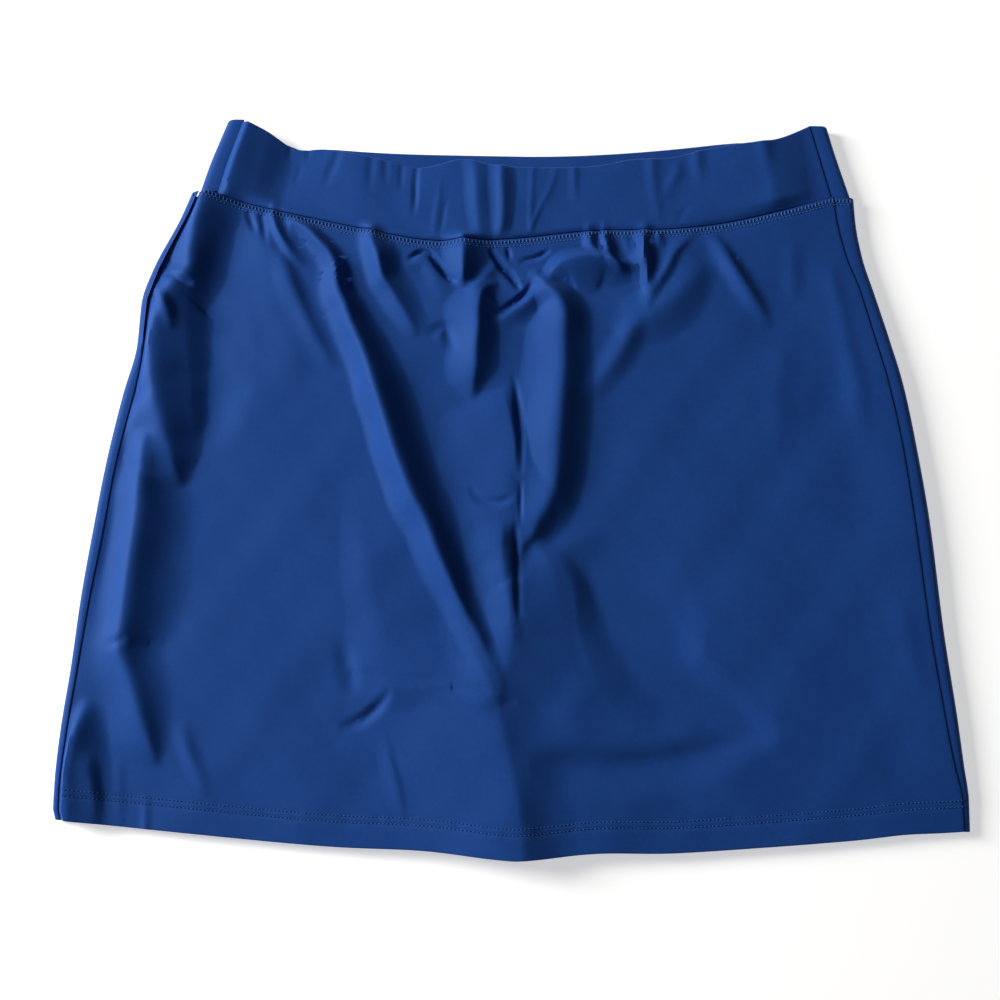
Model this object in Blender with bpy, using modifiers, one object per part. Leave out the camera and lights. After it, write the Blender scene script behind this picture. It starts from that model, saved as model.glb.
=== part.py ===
"""A golf skort laid flat: a stretch-knit skirt with plain inner shorts, on a wide waistband.

It lies on its back panel with the waist towards +Y, and the surface that it rests on is z = 0.
Each piece that is cut and sewn is one thin wall with its outer face drawn first.
Tables and sizes are in millimetres, and the meshes are in metres.
"""

import bmesh
import bpy
import numpy as np
from collections import namedtuple

COLLECTION = "golf_skort"
MM = 0.001

# Walls and seams.
SKIRT_WALL = 1.2
BAND_WALL = 2.4
SHORTS_WALL = 1.0
SEAM_GAP = 0.34
DITCH_DEPTH = 0.9
DITCH_REACH = 6.0

# The middle of the garment's box, which becomes the origin.
BOX_MIDDLE = (-2.34, 0.32)

# The front panel never comes lower than this, because the shorts lie under it.
LEAST_HEIGHT = 5.4
RIM_REACH = (12.0, 40.0)
LEAST_CREST = 3.0

# Across the garment, x is measured from the middle crease to a side of about this.
HALF_WIDTH = 250.0

# A side of the garment, a row for each section down it. The cloth of the back turns up round the
# edge with radius roll and comes strip millimetres over the front before its side seam.
Side = namedtuple("Side", "y edge strip roll")
LEFT_SKIRT = [
    Side(182, -211.2, 5.4, 5.2),
    Side(160, -219.0, 5.6, 5.4),
    Side(127, -233.6, 5.6, 5.4),
    Side(104, -240.0, 5.0, 4.8),
    Side(78, -240.8, 4.8, 4.6),
    Side(45, -247.6, 7.7, 4.4),
    Side(0, -255.2, 7.0, 4.2),
    Side(-40, -260.0, 7.2, 4.0),
    Side(-83, -264.5, 6.2, 3.8),
    Side(-125, -267.4, 4.8, 3.6),
    Side(-160, -270.6, 4.6, 3.6),
    Side(-190, -272.0, 3.8, 3.2),
    Side(-206, -271.9, 3.6, 2.8),
    Side(-214, -269.8, 3.4, 2.6),
]
RIGHT_SKIRT = [
    Side(185, 210.5, 14.0, 4.2),
    Side(166, 211.5, 13.0, 4.4),
    Side(143, 215.0, 11.5, 4.6),
    Side(120, 221.5, 10.0, 4.8),
    Side(90, 230.0, 10.5, 5.0),
    Side(60, 237.8, 10.5, 5.0),
    Side(25, 243.8, 10.0, 5.0),
    Side(-25, 250.5, 10.5, 5.0),
    Side(-95, 256.6, 9.5, 4.6),
    Side(-145, 262.4, 8.6, 4.4),
    Side(-175, 265.4, 6.6, 4.0),
    Side(-192, 267.3, 5.0, 3.6),
    Side(-211, 267.3, 4.2, 3.0),
]
LEFT_BAND = [
    Side(230, -191.5, 11.0, 5.6),
    Side(216, -196.0, 11.4, 6.0),
    Side(198, -201.8, 12.0, 6.0),
    Side(178, -207.2, 12.4, 5.6),
]
RIGHT_BAND = [
    Side(234, 194.5, 12.0, 4.2),
    Side(214, 199.6, 12.2, 4.2),
    Side(182, 208.8, 13.4, 4.2),
]

# A line across the garment, such as a hem, between its two ends. It leaves its middle height by a
# power of x, and each of its waves is (x, rise, width).
Line = namedtuple("Line", "left_x left_y middle_y right_x right_y left_power right_power waves")
TOP_WAVES = ((-148.0, -5.4, 14.0), (161.0, -3.3, 18.0))
FRONT_TOP_WAVES = ((-70.0, -3.4, 18.0), (-40.0, 4.0, 15.0), (69.0, 2.6, 16.0), (116.0, 2.0, 22.0))
WAIST_WAVES = ((-63.0, -3.5, 40.0), (45.0, 5.5, 45.0))
HEM_WAVES = ((-52.0, 2.6, 40.0), (46.0, 2.8, 32.0), (228.0, 1.1, 20.0))
FRONT_TOP = Line(-187.0, 228.5, 198.5, 183.0, 232.0, 2.4, 2.2, TOP_WAVES + FRONT_TOP_WAVES)
BACK_TOP = Line(-188.0, 228.5, 210.0, 191.0, 232.0, 4.6, 1.7, TOP_WAVES)
FRONT_WAIST = Line(-202.0, 178.3, 149.5, 195.4, 182.6, 2.0, 2.0, WAIST_WAVES)
BACK_WAIST = Line(-202.0, 178.3, 159.0, 204.6, 182.6, 2.0, 2.0, ())
FRONT_HEM = Line(-266.4, -213.0, -232.0, 263.1, -210.5, 1.2, 1.2, HEM_WAVES)
BACK_HEM = Line(-267.6, -213.0, -228.0, 265.1, -210.5, 1.2, 1.2, HEM_WAVES)

# How high the front's outer face lies, a row for each drop below the waist seam.
Level = namedtuple("Level", "drop left middle right")
LEVELS = [
    Level(-50, 6.6, 10.4, 9.2),
    Level(0, 6.4, 10.6, 9.0),
    Level(50, 6.4, 9.4, 8.8),
    Level(130, 6.4, 8.6, 8.8),
    Level(210, 6.4, 8.2, 8.6),
    Level(300, 6.4, 8.4, 8.0),
    Level(380, 6.0, 7.8, 6.6),
]
LEVEL_POWER = 3.0

# The largest folds. A fold is a crest or trough along a curve, and each of its knots is (x, y,
# height, left, right): the lift there, and how far it falls away on the two sides, seen looking
# along the curve. A small crest value gives it a sharp top, and a large one a round top. A small
# fall value gives it even slopes, and a large one slopes that ease out.
Fold = namedtuple("Fold", "name crest fall knots")
SKIRT_FOLDS = [
    Fold(
        "corner_dark", 0.25, 1.4,
        [
            (-252, -142, 0, 10, 6), (-259, -162, 6, 18, 7), (-262, -183, 6, 20, 5),
            (-261, -216, 3.6, 18, 5),
        ],
    ),
    Fold(
        "leg_valley", 0.3, 1.4,
        [
            (25, -46, 0, 10, 8), (55, -88, -6.2, 48, 22), (80, -127, -5.6, 34, 20),
            (127, -149, -3, 14, 20), (151, -160, 0, 8, 12),
        ],
    ),
    Fold(
        "left_ridge", 0.25, 1.3,
        [
            (-203, 174, 5.6, 17, 12), (-207, 156, 8, 18, 14), (-209, 135, 9, 19, 18),
            (-214, 120, 9, 20, 18), (-224, 107, 9, 27, 14), (-228, 86, 9.4, 31, 14),
            (-227, 65, 10.4, 30, 14), (-221, 45, 10, 26, 16), (-213, 25, 8.8, 19, 18),
            (-207, 6, 5.6, 10, 16), (-202, -12, 0, 4, 6),
        ],
    ),
    Fold(
        "left_low", 0.25, 2.4,
        [
            (-229, 21, 0, 10, 10), (-231, -14, 10, 30, 22), (-233, -54, 10.4, 34, 22),
            (-235, -99, 8.2, 28, 22), (-227, -131, 6.3, 22, 26), (-215, -168, 3, 11, 24),
            (-210, -181, 0, 6, 10),
        ],
    ),
    Fold(
        "left_shoulder", 0.45, 2,
        [
            (-171, 161, 0.6, 12, 20), (-155, 124, 1.8, 14, 28), (-145, 75, 1.2, 18, 30),
            (-141, 43, 0, 18, 28),
        ],
    ),
    Fold(
        "main", 0.25, 1.6,
        [
            (-145, 159, 3, 5, 6), (-129, 145, 6, 7.5, 9), (-118, 129, 7.4, 8.5, 12),
            (-115, 112, 8.2, 10, 14), (-107, 92, 10, 15, 14), (-95, 64, 12, 20, 14),
            (-84, 32, 12.6, 22, 15), (-72, -2, 12, 20, 17), (-57, -32, 9.6, 17, 18),
            (-43, -65, 7, 12.5, 17), (-31, -93, 4.6, 9.5, 15), (-19, -113, 1.8, 6, 12),
            (-14, -124, 0, 5, 10),
        ],
    ),
    Fold(
        "shoulder", 0.25, 1.5,
        [
            (-97, 152, 4, 10, 9), (-91, 136, 7.8, 15, 11), (-84, 121, 6.4, 15, 11),
            (-74, 106, 4.2, 14, 11), (-63, 85, 0, 10, 9),
        ],
    ),
    Fold(
        "pocket", 0.25, 1.5,
        [
            (-37, 151, 4.6, 15, 8), (-38, 132, 7.2, 17, 9), (-37, 116, 0, 7, 7),
        ],
    ),
    Fold(
        "centre_upper", 0.25, 1.4,
        [
            (-15, 121, 0, 5, 5), (-26, 114, 5.2, 11, 9), (-28, 90, 7.4, 12, 15),
            (-29, 67, 6, 11, 16), (-31, 50, 1.4, 6, 13), (-33, 45, 0, 5, 10),
        ],
    ),
    Fold(
        "centre_bank", 0.25, 1.4,
        [
            (-8, -32, 0, 5, 14), (-7, -49, 3.5, 10, 20), (-6, -71, 3, 8, 20),
            (-4, -95, 1.1, 7, 20), (-3, -109, 0, 8, 18),
        ],
    ),
    Fold(
        "right", 0.25, 1.4,
        [
            (8, 126, 1.5, 5, 6), (17, 116, 6.8, 12, 12), (25, 101, 8.8, 18, 20),
            (25, 69, 9.2, 20, 26), (23, 33, 9.2, 21.5, 27), (21, -2, 8.8, 19.5, 24),
            (17, -24, 8, 17, 15), (8, -39, 5.6, 12, 8), (0, -52, 1.6, 6, 5), (-2, -57, 0, 4, 4),
        ],
    ),
    Fold(
        "right_shelf", 0.25, 1.4,
        [
            (16, 121, 0, 6, 10), (24, 133, 6.2, 9, 20), (43, 137, 7.6, 8, 23),
            (60, 133, 4.6, 5, 15), (72, 138, 0, 4, 5),
        ],
    ),
    Fold(
        "gather_3", 0.25, 1.5,
        [
            (75, 153, 4.4, 9, 7), (76, 134, 6.4, 9, 8), (78, 118, 1.6, 4, 5), (78, 113, 0, 3, 4),
        ],
    ),
    Fold(
        "gather_4", 0.25, 1.4,
        [
            (105, 153, 0.9, 5, 6), (95, 132, 4.8, 9, 9), (85, 112, 3, 6, 8), (83, 104, 0, 4, 6),
        ],
    ),
    Fold(
        "gather_5", 0.26, 1.4,
        [
            (121, 134, 0, 9, 9), (109, 117, 4, 13, 11), (91, 100, 3.8, 13, 10),
            (75, 89, 1.8, 10, 8), (68, 83, 0, 8, 7),
        ],
    ),
    Fold(
        "gather_6", 0.25, 1.5,
        [
            (120, 153, 1, 6, 8), (130, 136, 4, 7.5, 9), (143, 115, 3, 8, 9), (155, 95, 0, 5, 7),
        ],
    ),
    Fold(
        "leg", 0.35, 1.4,
        [
            (9, -44, 0, 5, 6), (23, -71, 3.6, 14, 14), (34, -114, 3, 22, 28), (78, -141, 0, 8, 22),
        ],
    ),
    Fold(
        "leg_under", 0.4, 2,
        [
            (8, -175, 0, 12, 12), (51, -176, -3.6, 14, 24), (102, -170, -2.9, 14, 22),
            (144, -155, 0, 8, 12),
        ],
    ),
    Fold(
        "crease", 0.25, 1.3,
        [
            (-4, -46, 0, 10, 6), (-3, -96, 3, 28, 14), (-3, -143, 4, 42, 36),
            (2, -191, 5.2, 50, 48), (7, -232, 5.8, 50, 52),
        ],
    ),
    Fold(
        "hem_swell", 0.5, 2,
        [
            (1, -103, 0, 80, 60), (7, -162, 4.6, 120, 80), (11, -232, 5.2, 120, 80),
        ],
    ),
]
BAND_FOLDS = [
    Fold(
        "band_climb", 0.4, 2,
        [
            (172, 235, 3.4, 12, 85), (176, 201, 3.4, 12, 85), (179, 170, 3, 12, 85),
        ],
    ),
    Fold(
        "band_fall", 0.25, 1.6,
        [
            (-187, 235, 2.4, 26, 12), (-189, 207, 2.4, 26, 12), (-190, 170, 2.2, 22, 12),
        ],
    ),
    Fold(
        "pinch_b", 0.25, 1.4,
        [
            (-16, 202, 2, 9, 6), (-16, 175, 2.6, 9, 6), (-16, 151, 1.8, 5, 4),
        ],
    ),
]

# The inner shorts, a row for each section down one leg. Inner is the middle seam, then the inseam.
ShortsRow = namedtuple("ShortsRow", "inner_x inner_y outer_x outer_y")
SHORTS = [
    ShortsRow(0.2, 90, 211, 105),
    ShortsRow(0.2, 30, 216, 30),
    ShortsRow(0.2, -33, 216, -50),
    ShortsRow(20.0, -68, 213, -100),
    ShortsRow(50.0, -108, 205, -166),
]
CROTCH_ROW = 3
SHORTS_TOP_OUTER_X = 198.0
SHORTS_MIDDLE_X = 4.0
SHORTS_LOW = 1.5
SHORTS_HIGH = 3.8
SHORTS_BELOW_WAIST = 8.0

# Mesh density.
SKIRT_COLUMNS = 58
SKIRT_ROWS = 42
BAND_COLUMNS = 46
BAND_ROWS = 6
ROLL_STEPS = 6
FLAT_SHARES = (0.12, 0.3, 0.5, 0.7, 0.88)
SHORTS_FLAT_STEPS = 8
SHORTS_ROW_STEPS = 3
FOLD_STEPS = 4

# Where the grid lines of a front piece gather: at its seams, over the folds and under the waist.
END_WEIGHT = 2.2
END_SHARE = 0.02
LEAST_WEIGHT = 0.75
FOLD_WEIGHT = 0.7
FOLD_AT = 0.38
FOLD_SPREAD = 0.22
TOP_WEIGHT = 1.25
BOTTOM_WEIGHT = 0.75

KNIT_BLUE = (0.018, 0.056, 0.215, 1.0)
SHORTS_BLUE = (0.014, 0.044, 0.170, 1.0)
KNIT_ROUGHNESS = 0.62


def clear_scene():
    for obj in list(bpy.data.objects):
        bpy.data.objects.remove(obj, do_unlink=True)


def smooth(t):
    """0 up to t = 0, 1 from t = 1, and level at both."""
    t = np.clip(t, 0.0, 1.0)
    return t * t * (3.0 - 2.0 * t)


def through(table, key, column, at):
    """A column of a table read at any key: a curve through its rows with no overshoot."""
    rows = sorted(table, key=lambda row: getattr(row, key))
    xs = np.array([getattr(row, key) for row in rows], float)
    ys = np.array([getattr(row, column) for row in rows], float)
    slopes = np.diff(ys) / np.diff(xs)
    tangents = np.empty_like(ys)
    tangents[0] = slopes[0]
    tangents[-1] = slopes[-1]
    same_way = slopes[:-1] * slopes[1:] > 0
    total = np.where(same_way, slopes[:-1] + slopes[1:], 1.0)
    tangents[1:-1] = np.where(same_way, 2.0 * slopes[:-1] * slopes[1:] / total, 0.0)
    at = np.clip(np.asarray(at, float), xs[0], xs[-1])
    index = np.clip(np.searchsorted(xs, at) - 1, 0, len(xs) - 2)
    span = xs[index + 1] - xs[index]
    t = (at - xs[index]) / span
    rise = 3.0 * t**2 - 2.0 * t**3
    bend = (t**3 - 2.0 * t**2 + t) * tangents[index] + (t**3 - t**2) * tangents[index + 1]
    return ys[index] + (ys[index + 1] - ys[index]) * rise + span * bend


def seam_x(side, y):
    """Where the side seam lies on top, at a height y on the garment."""
    edge = through(side, "y", "edge", y)
    strip = through(side, "y", "strip", y)
    return edge - np.sign(edge) * strip


def line_y(line, x):
    """The height of a line across the garment at x."""
    to_left = np.clip(x / line.left_x, 0.0, 1.0) ** line.left_power
    to_right = np.clip(x / line.right_x, 0.0, 1.0) ** line.right_power
    left = (line.left_y - line.middle_y) * to_left
    right = (line.right_y - line.middle_y) * to_right
    y = line.middle_y + np.where(x < 0, left, right)
    for wave_x, rise, width in line.waves:
        y = y + rise * np.exp(-(((x - wave_x) / width) ** 2))
    return y


def below_roll_x(side, y):
    """Where the cloth of the back meets the surface below, inside the garment's edge."""
    edge = through(side, "y", "edge", y)
    return edge - np.sign(edge) * through(side, "y", "roll", y)


def corner(line, side, x_at, inset=0.0):
    """Where a line meets a side of the garment, found from the line's own end."""
    y = line.left_y if side[0].edge < 0 else line.right_y
    for _ in range(4):
        x = float(x_at(side, y))
        x -= np.sign(x) * inset
        y = float(line_y(line, x))
    return x, y


def fold_curve(fold, steps=FOLD_STEPS):
    """The fold's knots and points between them on a smooth curve, each (x, y, height, left, right)."""
    knots = np.array(fold.knots, float)
    chords = np.hypot(*np.diff(knots[:, :2], axis=0).T)
    at = np.concatenate([[0.0], np.cumsum(chords)])
    slopes = np.gradient(knots, at, axis=0)
    points = []
    for i, chord in enumerate(chords):
        t = np.arange(steps)[:, None] / steps
        points.append(
            knots[i] * (1 + 2 * t) * (1 - t) ** 2
            + knots[i + 1] * (3 - 2 * t) * t**2
            + slopes[i] * chord * t * (1 - t) ** 2
            - slopes[i + 1] * chord * (1 - t) * t**2
        )
    return np.vstack([*points, knots[-1:]])


def fold_lift(fold, x, y):
    """How much one fold lifts the cloth at each point."""
    curve = fold_curve(fold)
    margin = curve[:, 3:].max()
    low, high = curve[:, :2].min(axis=0) - margin, curve[:, :2].max(axis=0) + margin
    near = (x > low[0]) & (x < high[0]) & (y > low[1]) & (y < high[1])
    px, py = x[near], y[near]
    nearest = np.full(px.shape, np.inf)
    height = np.zeros(px.shape)
    width = np.ones(px.shape)
    for begin, end in zip(curve[:-1], curve[1:]):
        step = end - begin
        reach = (px - begin[0]) * step[0] + (py - begin[1]) * step[1]
        reach = np.clip(reach / (step[0] ** 2 + step[1] ** 2), 0.0, 1.0)
        off_x = px - begin[0] - reach * step[0]
        off_y = py - begin[1] - reach * step[1]
        distance = np.hypot(off_x, off_y)
        closer = distance < nearest
        to_left = step[0] * off_y - step[1] * off_x > 0
        side = np.where(to_left, begin[3] + reach * step[3], begin[4] + reach * step[4])
        nearest = np.where(closer, distance, nearest)
        height = np.where(closer, begin[2] + reach * step[2], height)
        width = np.where(closer, side, width)
    width = np.maximum(width, 1.0)
    crest = np.maximum(fold.crest * width, LEAST_CREST)
    nearest = np.minimum(nearest, width)
    share = (np.hypot(nearest, crest) - crest) / (np.hypot(width, crest) - crest)
    lift = np.zeros(x.shape)
    lift[near] = height * (1.0 - share) ** fold.fall
    return lift


def front_height(x, y, sides, folds):
    """The height of the front's outer face, over the skirt or the waistband."""
    drop = line_y(FRONT_WAIST, x) - y
    middle = through(LEVELS, "drop", "middle", drop)
    side = np.where(
        x < 0, through(LEVELS, "drop", "left", drop), through(LEVELS, "drop", "right", drop)
    )
    outward = np.clip(np.abs(x) / HALF_WIDTH, 0.0, 1.0) ** LEVEL_POWER
    height = middle + (side - middle) * outward
    for fold in folds:
        height = height + fold_lift(fold, x, y)
    height = height - DITCH_DEPTH * (1.0 - smooth(np.abs(drop) / DITCH_REACH))
    height = np.maximum(height, LEAST_HEIGHT)
    for rows, inward, reach in zip(sides, (1.0, -1.0), RIM_REACH):
        rim = 2.0 * through(rows, "y", "roll", y)
        inside = smooth((x - seam_x(rows, y)) * inward / reach)
        height = rim + (height - rim) * inside
    return height


def spaced(count, weight):
    """Count + 1 numbers from 0 to 1, closer together where weight is larger."""
    fine = np.linspace(0.0, 1.0, 500)
    total = np.concatenate([[0.0], np.cumsum(weight(fine[:-1]))])
    return np.interp(np.linspace(0.0, 1.0, count + 1), total / total[-1], fine)


def near_ends(t):
    """A weight that gathers grid lines at both seams."""
    return END_WEIGHT * (np.exp(-t / END_SHARE) + np.exp(-(1.0 - t) / END_SHARE))


def patch(us, vs, top, bottom, sides, gaps):
    """Points (x, y) of a panel between its top and bottom lines and its two side seams."""
    top_gap, bottom_gap, side_gap = gaps
    edges = []
    for side in sides:
        begin_y = corner(top, side, seam_x, side_gap)[1]
        end_y = corner(bottom, side, seam_x, side_gap)[1]
        y = begin_y + (end_y - begin_y) * vs
        x = seam_x(side, y)
        edges.append(np.stack([x - np.sign(x) * side_gap, y], axis=-1))
    left, right = edges
    across = []
    for line, end in ((top, 0), (bottom, -1)):
        x = left[end, 0] + (right[end, 0] - left[end, 0]) * us
        across.append(np.stack([x, line_y(line, x)], axis=-1))
    u = us[None, :, None]
    v = vs[:, None, None]
    corners = (left[0], right[0], left[-1], right[-1])
    blend = (1 - v) * ((1 - u) * corners[0] + u * corners[1])
    blend = blend + v * ((1 - u) * corners[2] + u * corners[3])
    points = (1 - v) * across[0][None] + v * across[1][None]
    points = points + (1 - u) * left[:, None] + u * right[:, None] - blend
    points[..., 1] += bottom_gap * v[..., 0] - top_gap * (1 - v[..., 0])
    return points


def across_weight(t):
    """Gathers grid columns over the folds in the middle."""
    return LEAST_WEIGHT + FOLD_WEIGHT * np.exp(-(((t - FOLD_AT) / FOLD_SPREAD) ** 2)) + near_ends(t)


def down_weight(t):
    """Gathers grid rows under the waist."""
    return TOP_WEIGHT + (BOTTOM_WEIGHT - TOP_WEIGHT) * t + 0.5 * near_ends(t)


def front_points(columns, rows, top, bottom, sides, folds, gaps):
    """The outer face of a front piece, from its top line down."""
    points = patch(spaced(columns, across_weight), spaced(rows, down_weight), top, bottom, sides, gaps)
    x, y = points[..., 0], points[..., 1]
    return np.dstack([x, y, front_height(x, y, sides, folds)])


def rolled_side(side, y, gap):
    """One row of the back's turned-up side, from its seam over the roll to the surface below."""
    edge = float(through(side, "y", "edge", y))
    roll = float(through(side, "y", "roll", y))
    outward = np.sign(edge)
    centre = edge - outward * roll
    points = [(float(seam_x(side, y)) + outward * gap, 2.0 * roll)]
    for angle in np.linspace(90.0, -90.0, ROLL_STEPS + 1):
        turn = np.radians(angle)
        points.append((centre + outward * roll * np.cos(turn), roll + roll * np.sin(turn)))
    return points


def back_points(rows, top, bottom, sides, gaps):
    """The outer face of a back piece, each row from the right seam round below to the left one."""
    top_gap, bottom_gap, side_gap = gaps
    shares = np.array(FLAT_SHARES)
    (top_left, bottom_left), (top_right, bottom_right) = [
        [corner(line, side, below_roll_x)[1] for line in (top, bottom)] for side in sides
    ]
    sheet = []
    for v in spaced(rows, down_weight):
        left_y = top_left + (bottom_left - top_left) * v
        right_y = top_right + (bottom_right - top_right) * v
        left = rolled_side(sides[0], left_y, side_gap)
        right = rolled_side(sides[1], right_y, side_gap)
        xs = right[-1][0] + (left[-1][0] - right[-1][0]) * shares
        high, low = line_y(top, xs), line_y(bottom, xs)
        shift = bottom_gap * v - top_gap * (1.0 - v)
        row = [(x, right_y + shift, z) for x, z in right]
        row += [(x, y + shift, 0.0) for x, y in zip(xs, high + (low - high) * v)]
        row += [(x, left_y + shift, z) for x, z in reversed(left)]
        sheet.append(row)
    return np.array(sheet)


def shorts_row(row_share, top_wall):
    """Inner and outer ends (x, y) of one section of a shorts wall, with x outward from the middle."""
    waist = FRONT_WAIST if top_wall else BACK_WAIST
    inner_y = waist.middle_y - SEAM_GAP
    outer_y = waist.left_y - SHORTS_BELOW_WAIST
    first = ShortsRow(SHORTS[0].inner_x, inner_y, SHORTS_TOP_OUTER_X, outer_y)
    rows = [first] + SHORTS
    index = min(int(row_share), len(rows) - 2)
    part = row_share - index
    return [a + (b - a) * part for a, b in zip(rows[index], rows[index + 1])]


def shorts_points(toward):
    """The outer face of one leg, each row round its section. toward is -1 on the left, 1 on the right."""
    stations = np.linspace(0.0, len(SHORTS), len(SHORTS) * SHORTS_ROW_STEPS + 1)
    roll = (SHORTS_HIGH - SHORTS_LOW) / 2.0
    sheet = []
    for station in stations:
        row = []
        for top_wall in (False, True):
            inner_x, inner_y, outer_x, outer_y = shorts_row(station, top_wall)
            closed = station >= CROTCH_ROW
            z = SHORTS_HIGH if top_wall else SHORTS_LOW
            shares = np.linspace(0.0, 1.0, SHORTS_FLAT_STEPS)
            xs = inner_x + roll + (outer_x - inner_x - 2.0 * roll) * shares
            ys = inner_y + (outer_y - inner_y) * shares**2
            wall = [(inner_x, inner_y, SHORTS_LOW + roll if closed else z)]
            wall += [(x, y, z) for x, y in zip(xs, ys)]
            if top_wall:
                wall.reverse()
            row.append(wall)
        side = (outer_x, outer_y, SHORTS_LOW + roll)
        row = row[0] + [side] + row[1]
        if toward > 0:
            row.reverse()
        sheet.append([(SHORTS_MIDDLE_X + toward * x, y, z) for x, y, z in row])
    return np.array(sheet)


def knit_material(name, colour):
    material = bpy.data.materials.new(name)
    material.use_nodes = True
    shader = material.node_tree.nodes["Principled BSDF"]
    shader.inputs["Base Color"].default_value = colour
    shader.inputs["Roughness"].default_value = KNIT_ROUGHNESS
    shader.inputs["Metallic"].default_value = 0.0
    material.diffuse_color = colour
    return material


def cloth_piece(collection, name, points, wall, colour):
    """A wall of cloth: a grid laid through the points, rows from top to bottom, then thickened."""
    rows, columns = points.shape[0] - 1, points.shape[1] - 1
    form = bmesh.new()
    bmesh.ops.create_grid(form, x_segments=columns, y_segments=rows, size=1.0)
    for vertex in form.verts:
        column = round((vertex.co.x + 1.0) / 2.0 * columns)
        row = round((1.0 - vertex.co.y) / 2.0 * rows)
        x, y, z = points[row, column]
        vertex.co = ((x - BOX_MIDDLE[0]) * MM, (y - BOX_MIDDLE[1]) * MM, z * MM)
    bmesh.ops.remove_doubles(form, verts=form.verts, dist=1e-6)
    mesh = bpy.data.meshes.new(name)
    form.to_mesh(mesh)
    form.free()
    mesh.materials.append(knit_material(name + "_knit", colour))
    mesh.shade_smooth()
    piece = bpy.data.objects.new(name, mesh)
    collection.objects.link(piece)
    solidify = piece.modifiers.new("wall", "SOLIDIFY")
    solidify.thickness = wall * MM
    solidify.offset = -1.0
    solidify.use_even_offset = True
    solidify.use_rim = True
    return piece


def build_waistband(collection):
    gap = SEAM_GAP / 2.0
    sides = (LEFT_BAND, RIGHT_BAND)
    gaps = (0.0, gap, gap)
    front = front_points(BAND_COLUMNS, BAND_ROWS, FRONT_TOP, FRONT_WAIST, sides, BAND_FOLDS, gaps)
    back = back_points(BAND_ROWS, BACK_TOP, BACK_WAIST, sides, gaps)
    cloth_piece(collection, "waistband_front", front, BAND_WALL, KNIT_BLUE)
    cloth_piece(collection, "waistband_back", back, BAND_WALL, KNIT_BLUE)


def build_skirt(collection):
    gap = SEAM_GAP / 2.0
    sides = (LEFT_SKIRT, RIGHT_SKIRT)
    gaps = (gap, 0.0, gap)
    front = front_points(
        SKIRT_COLUMNS, SKIRT_ROWS, FRONT_WAIST, FRONT_HEM, sides, SKIRT_FOLDS, gaps
    )
    back = back_points(SKIRT_ROWS, BACK_WAIST, BACK_HEM, sides, gaps)
    cloth_piece(collection, "skirt_front", front, SKIRT_WALL, KNIT_BLUE)
    cloth_piece(collection, "skirt_back", back, SKIRT_WALL, KNIT_BLUE)


def build_shorts(collection):
    cloth_piece(collection, "shorts_left", shorts_points(-1), SHORTS_WALL, SHORTS_BLUE)
    cloth_piece(collection, "shorts_right", shorts_points(1), SHORTS_WALL, SHORTS_BLUE)


def main():
    clear_scene()
    collection = bpy.data.collections.new(COLLECTION)
    bpy.context.scene.collection.children.link(collection)
    build_waistband(collection)
    build_skirt(collection)
    build_shorts(collection)


main()
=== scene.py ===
"""The looks of a golf skort laid flat: knit shells with their folds, seams and stitching.

Every shell lies on its solid in the frame. Tables and sizes are in millimetres in the garment's own
frame, and GARMENT_TO_FRAME moves them to the frame's origin, where meshes are in metres.
"""

from collections import namedtuple

import bmesh
import bpy
import mathutils
import numpy as np
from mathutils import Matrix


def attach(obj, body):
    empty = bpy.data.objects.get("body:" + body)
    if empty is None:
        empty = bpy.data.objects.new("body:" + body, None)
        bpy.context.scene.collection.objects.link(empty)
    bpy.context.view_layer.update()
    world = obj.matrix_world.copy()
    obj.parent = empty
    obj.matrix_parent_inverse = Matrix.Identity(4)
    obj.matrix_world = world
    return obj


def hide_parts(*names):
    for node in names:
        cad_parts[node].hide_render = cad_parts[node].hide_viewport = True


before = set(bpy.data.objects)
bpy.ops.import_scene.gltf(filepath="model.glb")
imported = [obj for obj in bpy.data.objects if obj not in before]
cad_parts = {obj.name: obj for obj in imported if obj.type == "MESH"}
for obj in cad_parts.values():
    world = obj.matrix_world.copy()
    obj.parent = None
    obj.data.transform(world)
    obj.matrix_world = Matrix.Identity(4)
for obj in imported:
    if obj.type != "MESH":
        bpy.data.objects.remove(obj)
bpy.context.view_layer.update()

MM = 0.001
GARMENT_TO_FRAME = (2.34, -0.32)

# The cloth's walls, the gap between two solids at a seam, and the gap that shows between two shells.
SKIRT_WALL = 1.2
BAND_WALL = 2.4
SHORTS_WALL = 1.0
SEAM_GAP = 0.34
VISIBLE_GAP = 0.02

# The waist seam holds both fronts down in a wide dip, narrower on the stiff band, and in a fine crease
# that fades towards the right, from an x and over a length.
HELD_DEPTH = 0.7
HELD_REACH = 9.0
BAND_STIFFNESS = 3.0
CREASE_DEPTH = 0.5
CREASE_REACH = 1.5
CREASE_FADE = 0.7
CREASE_FADE_X = (10.0, 60.0)

# Near the seam the band takes up the skirt's folds, and its thicker cloth stands a little higher.
JOIN_REACH = 8.0
BAND_PROUD = 0.7

# A front eases down to the back's turned-up rim at its left and right seams, with a step to it.
RIM_REACH = (5.0, 40.0)
SKIRT_STEPS = (-0.6, 0.6)
BAND_STEPS = (0.0, 0.6)

# A front eases into its least height, and no fold's crest is sharper than the least one.
LEAST_HEIGHT = 5.2
LEAST_SOFTNESS = 0.6
LEAST_CREST = 1.3

# The radii that round the cloth's edges, and the turns in degrees that each is made with.
SEAM_ROUND = 0.45
WAIST_ROUND = 0.22
HEM_ROUND = 0.6
BAND_ROUND = 1.1
BAND_LEFT_ROUND = 0.1
EDGE_TURNS = (30.0, 60.0, 90.0)
SHARP_ANGLE = 50.0
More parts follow.
